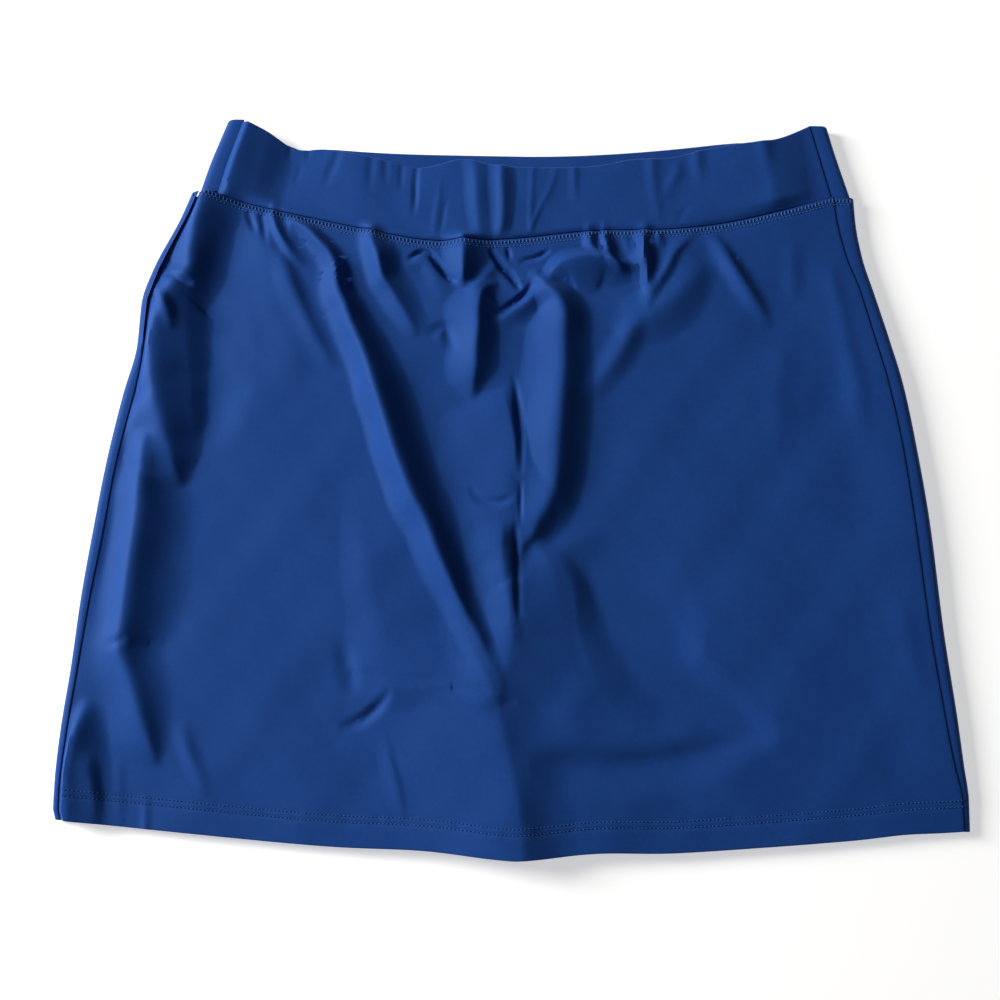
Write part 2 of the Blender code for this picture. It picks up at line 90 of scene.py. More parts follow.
# The radii of a piece's edges: top, bottom, first side and last side.
SKIRT_ROUNDS = (WAIST_ROUND, HEM_ROUND, SEAM_ROUND, SEAM_ROUND)
BAND_FRONT_ROUNDS = (BAND_ROUND, WAIST_ROUND, BAND_LEFT_ROUND, SEAM_ROUND)
BAND_BACK_ROUNDS = (BAND_ROUND, WAIST_ROUND, SEAM_ROUND, BAND_LEFT_ROUND)

# A side of the garment, a row for each section down it. The cloth of the back turns up round the
# edge with radius roll and comes strip millimetres over the front before its side seam.
Side = namedtuple("Side", "y edge strip roll")
LEFT_SKIRT = [
    Side(182, -211.2, 5.4, 5.2),
    Side(160, -219.0, 5.6, 5.4),
    Side(127, -233.6, 5.6, 5.4),
    Side(104, -240.0, 5.0, 4.8),
    Side(78, -240.8, 4.8, 4.6),
    Side(45, -247.6, 7.7, 4.4),
    Side(0, -255.2, 7.0, 4.2),
    Side(-40, -260.0, 7.2, 4.0),
    Side(-83, -264.5, 6.2, 3.8),
    Side(-125, -267.4, 4.8, 3.6),
    Side(-160, -270.6, 4.6, 3.6),
    Side(-190, -272.0, 3.8, 3.2),
    Side(-206, -271.9, 3.6, 2.8),
    Side(-214, -269.8, 3.4, 2.6),
]
RIGHT_SKIRT = [
    Side(185, 210.5, 14.0, 4.2),
    Side(166, 211.5, 13.0, 4.4),
    Side(143, 215.0, 11.5, 4.6),
    Side(120, 221.5, 10.0, 4.8),
    Side(90, 230.0, 10.5, 5.0),
    Side(60, 237.8, 10.5, 5.0),
    Side(25, 243.8, 10.0, 5.0),
    Side(-25, 250.5, 10.5, 5.0),
    Side(-95, 256.6, 9.5, 4.6),
    Side(-145, 262.4, 8.6, 4.4),
    Side(-175, 265.4, 6.6, 4.0),
    Side(-192, 267.3, 5.0, 3.6),
    Side(-211, 267.3, 4.2, 3.0),
]
LEFT_BAND = [
    Side(230, -191.5, 11.0, 5.6),
    Side(216, -196.0, 11.4, 6.0),
    Side(198, -201.8, 12.0, 6.0),
    Side(178, -207.2, 12.4, 5.6),
]
RIGHT_BAND = [
    Side(234, 194.5, 12.0, 4.2),
    Side(214, 199.6, 12.2, 4.2),
    Side(182, 208.8, 13.4, 4.2),
]

# A line across the garment, such as a hem, between its two ends. It leaves its middle height by a
# power of x, and each of its waves is (x, rise, width).
Line = namedtuple("Line", "left_x left_y middle_y right_x right_y left_power right_power waves")
TOP_WAVES = ((-148.0, -5.4, 14.0), (161.0, -3.3, 18.0))
FRONT_TOP_WAVES = ((-70.0, -3.4, 18.0), (-40.0, 4.0, 15.0), (69.0, 2.6, 16.0), (116.0, 2.0, 22.0))
WAIST_WAVES = ((-63.0, -3.5, 40.0), (45.0, 5.5, 45.0))
HEM_WAVES = ((-52.0, 2.6, 40.0), (46.0, 2.8, 32.0), (228.0, 1.1, 20.0))
FRONT_TOP = Line(-187.0, 228.5, 198.5, 183.0, 232.0, 2.4, 2.2, TOP_WAVES + FRONT_TOP_WAVES)
BACK_TOP = Line(-188.0, 228.5, 210.0, 191.0, 232.0, 4.6, 1.7, TOP_WAVES)
FRONT_WAIST = Line(-202.0, 178.3, 149.5, 195.4, 182.6, 2.0, 2.0, WAIST_WAVES)
BACK_WAIST = Line(-202.0, 178.3, 159.0, 204.6, 182.6, 2.0, 2.0, ())
FRONT_HEM = Line(-266.4, -213.0, -232.0, 263.1, -210.5, 1.2, 1.2, HEM_WAVES)
BACK_HEM = Line(-267.6, -213.0, -228.0, 265.1, -210.5, 1.2, 1.2, HEM_WAVES)
CORNER_PASSES = 4

# How high the front's outer face lies, a row for each drop below the waist seam. It leaves its middle
# height by a power of the share of the half width.
Level = namedtuple("Level", "drop left middle right")
LEVELS = [
    Level(-50, 6.6, 10.4, 9.2),
    Level(0, 6.4, 10.6, 9.0),
    Level(50, 6.4, 9.4, 8.8),
    Level(130, 6.4, 8.6, 8.8),
    Level(210, 6.4, 8.2, 8.6),
    Level(300, 6.4, 8.4, 8.0),
    Level(380, 6.0, 7.8, 6.6),
]
LEVEL_POWER = 3.0
HALF_WIDTH = 250.0

# A fold is a crest or trough along a curve. Each of its knots is (x, y, height, left, right): the
# lift there, and how far it falls away on the two sides, seen looking along the curve. A small crest
# value gives it a sharp top, and a large one a round top. A small fall value gives it even slopes,
# and a large one slopes that ease out.
Fold = namedtuple("Fold", "name crest fall knots")
SKIRT_FOLDS = [
    Fold("left_thigh", 0.5, 1.5, [
        (-104, -7, 0, 70, 8), (-95, -29, 1, 90, 15.4), (-91, -50, 2.3, 100, 19.6),
        (-87, -68, 2.8, 100, 21), (-82, -87, 2.9, 100, 23.8), (-77, -104, 2.9, 90, 30.8),
        (-72, -121, 2.6, 70, 36.4), (-73, -134, 1.6, 50, 22), (-70, -147, 0, 30, 14),
    ]),
    Fold("ridge_foot", 0.3, 1.4, [
        (-191, 153, 0, 14, 10), (-193, 136, -1, 18, 11), (-196, 121, -1.2, 20, 12),
        (-196, 103, -1.8, 24, 14), (-194, 86, -2.3, 26, 16), (-191, 67, -2.4, 26, 16),
        (-190, 48, -2.2, 24, 15), (-191, 29, -1.6, 20, 12), (-193, 11, 0, 14, 8),
    ]),
    Fold("corner_dark", 0.18, 1.4, [
        (-253, -142, 0, 10, 6), (-257, -151, 4.2, 16, 7), (-261, -162, 7.4, 22, 7),
        (-264, -172, 8.6, 26, 6), (-265, -183, 9.7, 28, 5), (-264.5, -193, 8.5, 30, 5),
        (-263, -216, 6.4, 30, 5),
    ]),
    Fold("thigh_end", 0.4, 2, [
        (-67, -134, 0, 6, 8), (-52, -134, 1, 8, 10), (-34, -136, 1.2, 8, 10), (-18, -140, 1, 8, 10),
        (-8, -142, 0, 6, 8),
    ]),
    Fold("leg_valley", 0.3, 1.4, [
        (28, -47, 0, 10, 8), (44, -60, -3, 34, 16), (55, -73, -4.6, 44, 26), (65, -88, -5.4, 44, 32),
        (74, -102, -5.8, 42, 35), (81, -116, -5.8, 38, 35), (91, -128, -5.5, 32, 34),
        (107, -137, -5, 24, 30), (122, -144, -4.4, 20, 26), (133, -149, -3.6, 16, 22),
        (145, -155, -2, 14, 18), (154, -160, 0, 8, 12),
    ]),
    Fold("main_skirt", 0.35, 2, [
        (-44, -80, 0, 8, 12), (-34, -99, 1.4, 9, 16), (-25, -115, 1.8, 10, 18), (-16, -131, 1.6, 10, 18),
        (-10, -144, 0, 8, 14),
    ]),
    Fold("left_spur", 0.25, 1.5, [
        (-234.5, 117.5, 0.6, 4, 4), (-230, 111.5, 1.8, 5, 4), (-225, 105, 2.4, 6, 5),
        (-221, 98, 2.2, 6, 6), (-219, 91.5, 1.2, 5, 6), (-218.5, 84, 0, 4, 5),
    ]),
    Fold("left_ridge", 0.14, 1.3, [
        (-203, 174, 9, 25, 12), (-205, 165, 10.6, 26, 12), (-207, 156, 10.6, 25, 14),
        (-208, 146, 10.2, 25, 16), (-209, 135, 10.2, 24, 18), (-209, 127, 10, 23, 18),
        (-213, 120, 10, 24, 18), (-219, 114, 10, 28, 16), (-223, 107, 10.2, 31, 14),
        (-226, 97, 10.6, 34, 14), (-229, 86, 11.4, 36, 14), (-230, 76, 12.4, 37, 14),
        (-229, 65, 12.8, 36, 14), (-228, 55, 12.6, 34, 15), (-226, 46, 12, 33, 16),
        (-224, 37, 11.6, 31, 28.8), (-221, 28, 10.8, 29, 28.8), (-218, 17, 9.4, 25, 28.8),
        (-214, 7, 7.6, 20, 25.6), (-211, -3, 4.8, 14, 16), (-206, -13, 0, 6, 6),
    ]),
    Fold("left_notch", 0.3, 2, [
        (-225, 121.5, 0, 3, 3), (-219.5, 120, -1.6, 4, 3), (-214, 117.5, -2.6, 5, 4),
        (-209.5, 116, -1.8, 4, 4), (-205.5, 115.5, 0, 3, 3),
    ]),
    Fold("left_low", 0.16, 2.3, [
        (-229, 21, 0, 10, 10), (-231, 11, 4.5, 17, 14), (-231, -1, 8.2, 26, 18), (-231, -14, 10.8, 33, 22),
        (-231, -28, 11.4, 37, 22), (-232, -42, 11.6, 38, 22), (-233, -54, 11.4, 38, 22),
        (-234, -69, 10.9, 39, 22), (-235, -84, 10.2, 39, 22), (-236, -99, 9.2, 34, 22),
        (-237, -111, 8.4, 28, 24), (-233, -121, 7.8, 26, 26), (-229, -131, 7.2, 26, 26),
        (-225, -143, 6.4, 24, 26), (-221, -155, 5.4, 20, 26), (-216, -168, 3.6, 13, 24),
        (-211, -181, 0, 6, 10),
    ]),
    Fold("left_crossing", 0.3, 2, [
        (-246, -111, 0, 4, 4), (-241, -109, -1.6, 4, 4), (-236.5, -108, -1.8, 4, 4), (-232, -107, 0, 4, 4),
    ]),
    Fold("corner_short", 0.28, 1.5, [
        (-252, -173, 0, 6, 8), (-250, -183, 1.4, 6, 10), (-248, -192, 1.8, 6, 10),
        (-246, -201, 1.4, 6, 10), (-246, -212, 0.7, 6, 10),
    ]),
    Fold("corner_small", 0.3, 2, [
        (-235, -175, 0, 6, 8), (-234, -188, 0.6, 7, 9), (-233, -201, 0.7, 7, 9), (-232, -214, 0.4, 6, 8),
    ]),
    Fold("corner_ripple", 0.3, 2, [
        (-216.5, -196, 0, 5, 5), (-216.5, -205, 0.5, 5, 5), (-216, -216.5, 0.8, 5, 5),
    ]),
    Fold("left_low_ripple", 0.35, 2, [
        (-199, -155, 0, 7, 8), (-196, -165, 1.2, 8, 9), (-191, -177, 1.6, 8, 9), (-185, -188, 1, 7, 8),
        (-181, -198, 0, 6, 7),
    ]),
    Fold("left_shoulder", 0.45, 2, [
        (-171, 161, 0.6, 12, 20), (-162, 144, 1.5, 14, 24), (-155, 124, 1.8, 14, 28),
        (-149, 101, 1.8, 16, 30), (-145, 75, 1.2, 18, 30), (-141, 43, 0, 18, 28),
    ]),
    Fold("pucker_a", 0.3, 2, [
        (-175, 164.5, -1.2, 4, 4), (-172.5, 157.5, -1.3, 4, 4), (-169.5, 150.5, 0, 3, 3),
    ]),
    Fold("pucker_b", 0.3, 2, [
        (-166.5, 162, -1.2, 4, 4), (-164.5, 153.5, -1.3, 4, 4), (-162.5, 143, 0, 3, 3),
    ]),
    Fold("gather_left", 0.2, 2, [
        (-160, 164.5, 2.2, 6, 5), (-156, 153, 3.2, 7, 5), (-150, 142.5, 3.2, 8, 5),
        (-143.5, 134.5, 1.8, 8, 5), (-137, 129.5, 0, 6, 5),
    ]),
    Fold("gather_left_b", 0.3, 2, [(-149, 161, 0.8, 4, 4), (-147, 153, 0.8, 4, 4), (-144, 145, 0, 4, 4)]),
    Fold("soft_left", 0.22, 2, [
        (-155, 142, 0, 8, 9), (-150, 130, 1.8, 9, 11), (-145, 117, 2.6, 10, 13), (-138, 101, 2.8, 10, 13),
        (-131, 86, 2.4, 10, 13), (-123, 73, 1.4, 9, 12), (-117, 61, 0, 8, 10),
    ]),
    Fold("main", 0.2, 1.6, [
        (-144.5, 159, 3, 5, 6), (-137, 153, 5, 7, 7), (-129, 145, 6, 7.5, 9), (-122, 137, 6.8, 8, 11),
        (-118, 129, 7.4, 8.5, 12), (-117, 121, 7.8, 8.5, 13), (-115, 112, 8.2, 10, 14),
        (-111, 103, 9, 13, 14), (-107, 92, 10, 15, 14), (-101, 79, 11, 17.5, 14), (-95, 64, 12, 20, 14),
        (-90, 49, 12.6, 22, 15), (-84, 32, 12.8, 23, 15), (-79, 16, 12.8, 23, 15.5),
        (-72, -2, 12.6, 22, 15.5), (-65, -18, 12, 21, 16.8), (-57, -32, 11, 20, 16.2),
        (-50, -50, 9.8, 17, 15.7), (-43, -65, 8.6, 14.5, 15.1), (-36, -80, 7.4, 12, 13),
        (-29, -93, 6, 10.5, 13), (-23, -103, 4.6, 9, 13), (-18, -113, 1.9, 7.5, 12),
        (-12, -124, 0.8, 6, 10), (-8, -133, 0, 5, 8),
    ]),
    Fold("shoulder", 0.12, 1.5, [
        (-97, 152, 4.4, 10, 9), (-95, 144, 6.8, 13, 10), (-92, 136, 8.2, 15, 11), (-90, 128, 7.8, 15, 11),
        (-88, 121, 7, 15, 11), (-83, 114, 5.8, 15, 11), (-78, 106, 4.8, 15, 11), (-72, 97, 3.4, 13, 10),
        (-65, 85, 0, 10, 9),
    ]),
    Fold("squiggle", 0.25, 2, [
        (-73.5, 134, 0, 3, 3), (-70, 137, -1.8, 3, 3.5), (-65, 140, -2.6, 3, 3.5), (-60, 139.5, -3, 3, 4),
        (-55, 134, -3.2, 3.5, 4), (-51.5, 128.5, -3.2, 3.5, 3.5), (-46, 123, -2.4, 3, 3),
        (-41, 120.5, 0, 3, 3),
    ]),
    Fold("squiggle_lobe", 0.45, 2, [
        (-77, 128, 0, 8, 8), (-69, 133, 1.2, 8, 9), (-63, 134, 1.6, 8, 9), (-57, 128, 1.4, 8, 9),
        (-52, 118, 0.8, 10, 10), (-48, 109, 0, 10, 10),
    ]),
    Fold("pocket", 0.1, 1.5, [
        (-39, 152, 6.4, 20, 14), (-38, 141, 8, 19, 15), (-38, 132, 7, 15, 13), (-38, 123, 4.6, 9, 9),
        (-38, 116, 0, 6, 7),
    ]),
    Fold("centre_top", 0.4, 2, [
        (-16, 135, 0, 6, 6), (-22, 127, 1.4, 7, 7), (-28, 120, 1.6, 7, 7), (-35, 113, 0, 6, 6),
    ]),
    Fold("centre_upper", 0.12, 1.4, [
        (-15.5, 121, 0, 5, 5), (-22, 118, 3, 8, 7), (-26, 114, 5.4, 12, 14), (-28, 104, 7.4, 13, 22),
        (-28, 90, 7.8, 14, 20), (-29, 77, 7.4, 15, 19), (-29, 67, 6.4, 15, 20), (-30, 58, 4.2, 10, 18),
        (-31, 50, 1.6, 6, 14), (-33, 44.5, 0, 5, 10),
    ]),
    Fold("centre_hole", 0.45, 2, [
        (-59, 83, 0, 6, 6), (-55, 89, -0.9, 6, 6), (-49, 91, -1.3, 6, 7), (-45, 84, -1.3, 6, 7),
        (-42, 73, 0, 6, 6),
    ]),
    Fold("tongue", 0.22, 1.3, [
        (-13, 53, 0, 8, 34), (-10, 44, 2.6, 9, 42), (-7, 31, 4.4, 9, 46), (-5, 18, 4.8, 10, 46),
        (-5, 7, 4.8, 13, 46), (-6, -5, 4.8, 22, 46), (-6, -18, 5, 28, 44), (-6, -32, 4.9, 28, 42),
        (-7, -46, 3, 14, 36), (-7, -64, 1, 9, 30), (-5, -79, 0, 9, 26),
    ]),
    Fold("centre_bank", 0.22, 1.4, [
        (-10, -31.5, 0, 5, 14), (-11, -40, 2.3, 8, 20), (-11, -49, 3.7, 10, 24), (-10, -59, 3.6, 10, 24),
        (-8, -71, 3, 9, 24), (-6, -83, 2.2, 8, 24), (-5, -95, 1.1, 8, 24), (-3, -109, 0, 8, 20),
    ]),
    Fold("tongue_end", 0.35, 2, [
        (-31.5, -9.5, 0, 4, 4), (-26.5, -16, -1, 4, 5), (-20, -19.5, -1.6, 4, 5), (-13.5, -20, -1.4, 4, 5),
        (-7.5, -18, -0.9, 4, 4), (-2.5, -14.5, 0, 3, 3),
    ]),
    Fold("centre_thin", 0.24, 2, [
        (-5.5, 63, 0, 3, 4), (-3.5, 51.5, -0.9, 4, 4), (-2, 37.5, -1.3, 4, 4), (-0.5, 25, -1.3, 4, 4),
        (0, 13.5, -1.1, 4, 4), (0.5, 3.5, -0.6, 3, 4), (0.5, -4, 0, 2, 3),
    ]),
    Fold("thin_mark", 0.25, 2, [
        (0, -5.5, 0, 2, 2), (0.5, -14.5, -0.8, 2, 2.5), (0.5, -25, -0.8, 2, 2.5), (1, -35, 0, 2, 2),
    ]),
    Fold("vee_a", 0.22, 2, [
        (-22, 144, 0, 3, 3), (-18, 138, -2.2, 4, 4), (-13, 131, -3.2, 4, 4.5), (-8, 126, -3.4, 4, 4.5),
        (-4, 120.5, -2.4, 3, 4), (-1.5, 116, 0, 3, 3),
    ]),
    Fold("vee_b", 0.22, 2, [
        (6, 121.5, 0, 3, 3), (2, 115.5, -2.2, 4.5, 3), (-4, 109.5, -3.2, 5, 3.5),
        (-9.5, 105.5, -2.6, 5, 3.5), (-14.5, 102.5, -1.2, 4, 3), (-18, 101, 0, 3, 3),
    ]),
    Fold("vee_ridge", 0.28, 2, [
        (14.5, 121, 0, 7, 4), (8, 114, 2, 10, 5), (2, 107.5, 2.8, 12, 5.5), (-6, 102, 2.8, 12, 6),
        (-12, 98, 1.8, 10, 6), (-18, 95.5, 0, 8, 5),
    ]),
    Fold("vee_drop", 0.3, 2, [(-10.5, 145.5, 0, 3, 3), (-9.5, 140.5, -1.4, 3, 3), (-8, 135, 0, 3, 3)]),
    Fold("mark_right", 0.28, 2, [
        (-3.5, 134, 0, 2.5, 3), (2, 136.5, -1.2, 2.5, 3.5), (8.5, 138.5, -1.9, 2.5, 3.5),
        (13.5, 141, -1.6, 2.5, 3), (17, 143, 0, 2, 2.5),
    ]),
    Fold("right", 0.18, 1.4, [
        (8, 126, 1.5, 5, 6), (13, 121, 4.6, 8, 9), (17, 116, 6.8, 12, 12), (22, 110, 7.8, 15, 16),
        (25, 101, 8.8, 18, 20), (25, 87, 9, 19, 24), (25, 69, 9.2, 20, 26), (24, 51, 9.2, 21, 27),
        (23, 33, 9.2, 21.5, 27), (22, 15, 9, 21, 27), (21, -2, 8.6, 19.5, 26), (19, -15, 7.4, 18, 22),
        (15, -24, 5.8, 17, 19), (11, -31, 4.4, 15, 15), (8, -39, 3.1, 12, 11), (3, -45, 1.9, 9, 9),
        (0, -52, 0.8, 6, 6), (-2.5, -56.5, 0, 4, 4),
    ]),
    Fold("right_shelf", 0.18, 1.4, [
        (16, 121, 0, 6, 10), (18, 127, 3.6, 7, 15), (24, 133, 6.2, 9, 20), (33, 136, 7.6, 9, 23),
        (43, 137, 7.6, 8, 23), (52, 136, 6.4, 6, 20), (59.5, 133, 4.6, 5, 15), (66, 133, 3, 5, 10),
        (72, 138, 0, 4, 5),
    ]),
    Fold("gather_1", 0.2, 1.5, [
        (41, 152, 3.2, 7, 6), (42, 147, 3.4, 7, 6), (47.5, 141, 2, 5, 5), (49.5, 135, 0, 3, 4),
    ]),
    Fold("gather_2", 0.18, 1.5, [
        (50.5, 152, 3.8, 7, 4), (52, 145.5, 4.6, 8, 5), (53.5, 139, 4.4, 8, 5), (59.5, 133, 3, 7, 5),
        (64.5, 128, 0, 5, 4),
    ]),
    Fold("gather_2b", 0.3, 2, [
        (64.5, 151, 0.8, 4, 6), (67, 143, 1.4, 4, 7), (69.5, 136.5, 1, 4, 6), (72, 131.5, 0, 3, 4),
    ]),
    Fold("gather_3", 0.13, 1.5, [
        (75, 153, 4.4, 9, 7), (75, 143, 6.4, 9.5, 8), (76, 134, 6.4, 9, 8), (77, 125, 4.6, 6, 7),
        (78, 118, 1.6, 4, 5), (78.5, 113, 0, 3, 4),
    ]),
    Fold("gather_3b", 0.22, 2, [(84.5, 154, 2, 5, 3), (85, 149, 2, 5, 3), (86, 143.5, 0, 4, 3)]),
    Fold("gather_4", 0.16, 1.4, [
        (105, 153, 0.5, 3.2, 7.8), (96, 143.5, 2, 3.1, 8.3), (90, 132, 2.9, 4.7, 9.4),
        (83.5, 121, 2.8, 4.7, 9.4), (79.5, 112, 1.8, 3.1, 8.3), (78, 103.5, 0, 2.1, 6.2),
    ]),
    Fold("gather_5", 0.26, 1.3, [
        (115, 137, 0, 10, 17.1), (109, 130, 2.4, 14, 20.9), (102, 122, 3.7, 18, 20.9),
        (94, 112, 4.4, 20, 20.9), (84, 104, 4.2, 20, 19), (75, 98, 3.4, 18, 19), (67, 92, 2, 14, 15.2),
        (60, 86, 0, 8, 13.3),
    ]),
    Fold("gather_5_tail", 0.3, 1.5, [
        (73, 100, 0, 8, 8), (67, 90, 2, 11, 10), (62, 79, 2.8, 12, 12), (55, 68, 2.4, 12, 12),
        (48, 58, 1.6, 11, 11), (41, 46, 0, 9, 9),
    ]),
    Fold("gather_6", 0.24, 1.5, [
        (120, 153, 1, 6, 8), (125, 145, 2.8, 7, 9), (130, 136, 4, 7.5, 9), (136, 126, 4, 8, 9),
        (143, 115, 3, 8, 9), (149, 105, 1.6, 7, 8), (154.5, 94.5, 0, 5, 7),
    ]),
    Fold("right_soft_a", 0.4, 2, [
        (170, 153, 0, 9, 10), (170, 138, 0.8, 9, 10), (170, 123, 0.8, 9, 10), (171, 110, 0, 8, 9),
    ]),
    Fold("right_soft_b", 0.45, 2, [
        (165, 87, 0, 12, 12), (160, 64, 0.6, 13, 14), (158, 45, 0.6, 13, 14), (159, 26, 0.3, 12, 12),
        (162, 10, 0, 10, 10),
    ]),
    Fold("right_soft_c", 0.3, 2, [
        (193, 139, 0, 7, 8), (196, 126, 2.3, 8, 10), (199, 111, 2.3, 8, 10), (202, 94, 2.2, 9, 11),
        (205, 77, 2.5, 10, 12), (209, 59, 2.2, 11, 13), (210, 40, 1.3, 11, 13), (217, 21, 0, 10, 12),
    ]),
    Fold("right_soft_d", 0.4, 2, [
        (233, -69, 0, 10, 12), (234, -84, 1.5, 10, 14), (236, -102, 1.8, 10, 14), (241, -120, 1.2, 8, 12),
        (245, -134, 0, 6, 10),
    ]),
    Fold("dimple", 0.2, 2, [
        (-3, -31.5, 0, 3, 3), (-2, -41.5, -1, 4, 3.5), (-1.5, -55, -1.2, 4, 4), (-1, -68, -1.2, 4, 4),
        (-0.5, -79, -1.1, 3.5, 3.5), (0, -87.5, -0.5, 3, 3), (0.5, -94.5, 0, 2, 2),
    ]),
    Fold("leg", 0.35, 1.3, [
        (9, -43.5, 0, 5, 8), (13, -50, 1.8, 10, 20), (18, -59, 2.9, 15, 34), (21, -71, 3.6, 22, 42),
        (23, -86, 3.8, 28, 44), (25, -100, 3, 32, 40), (29, -114, 1.8, 32, 36), (37, -127, 0.8, 26, 30),
        (49, -136, 0, 18, 24),
    ]),
    Fold("leg_under", 0.4, 2, [
        (8, -175, 0, 12, 12), (27, -175, -2, 14, 22), (51, -176, -3, 14, 24), (76, -175, -3.2, 14, 24),
        (102, -170, -2.6, 14, 22), (126, -163, -1.5, 12, 18), (144, -155, 0, 8, 12),
    ]),
    Fold("crease", 0.1, 1.9, [
        (-4, -46, 0, 10, 10), (-3, -61, 3.8, 26, 26), (-3, -79, 5, 34, 36), (-3, -96, 5.6, 40, 44),
        (-6, -112, 5.8, 42, 60), (-10, -127, 5.8, 40, 80), (-12, -142, 5.8, 36, 90),
        (-9, -159, 5.8, 34, 90), (-5, -175, 5.8, 34, 90), (-1, -191, 6, 34, 90), (2, -208, 6.2, 35, 90),
        (4, -232, 6.2, 36, 90),
    ]),
    Fold("hem_swell", 0.5, 2, [
        (1, -103, 0, 80, 70), (4, -133, 2.4, 110, 110), (7, -162, 3.8, 120, 120),
        (10, -196, 4.4, 120, 120), (11, -232, 4.4, 120, 120),
    ]),
    Fold("left_thigh_low", 0.4, 2, [
        (-105, -105, 0, 8, 9), (-102, -117, -1.4, 9, 10), (-99, -130, -1.2, 9, 10), (-98, -140, 0, 8, 8),
    ]),
    Fold("crescent", 0.3, 2, [
        (-106, -156.5, 0, 3, 3), (-98, -154.5, -1.6, 4, 5), (-91, -151, -2.4, 4.5, 6),
        (-84.5, -145.5, -2.4, 4.5, 6.5), (-79.5, -140, -1.4, 4, 6), (-74.5, -133.5, 0, 3, 4),
    ]),
    Fold("faint_line", 0.35, 2, [
        (-79, -160.5, 0, 5, 8), (-74, -176, 0.8, 5, 9), (-69, -192, 0.8, 5, 9), (-64.5, -209, 0, 4, 8),
    ]),
    Fold("faint_mark", 0.35, 2, [
        (-17, -140.5, 0, 3, 3), (-10, -140, -0.7, 3, 3), (-3, -140, -0.7, 3, 3), (0.5, -140, 0, 3, 3),
    ]),
]
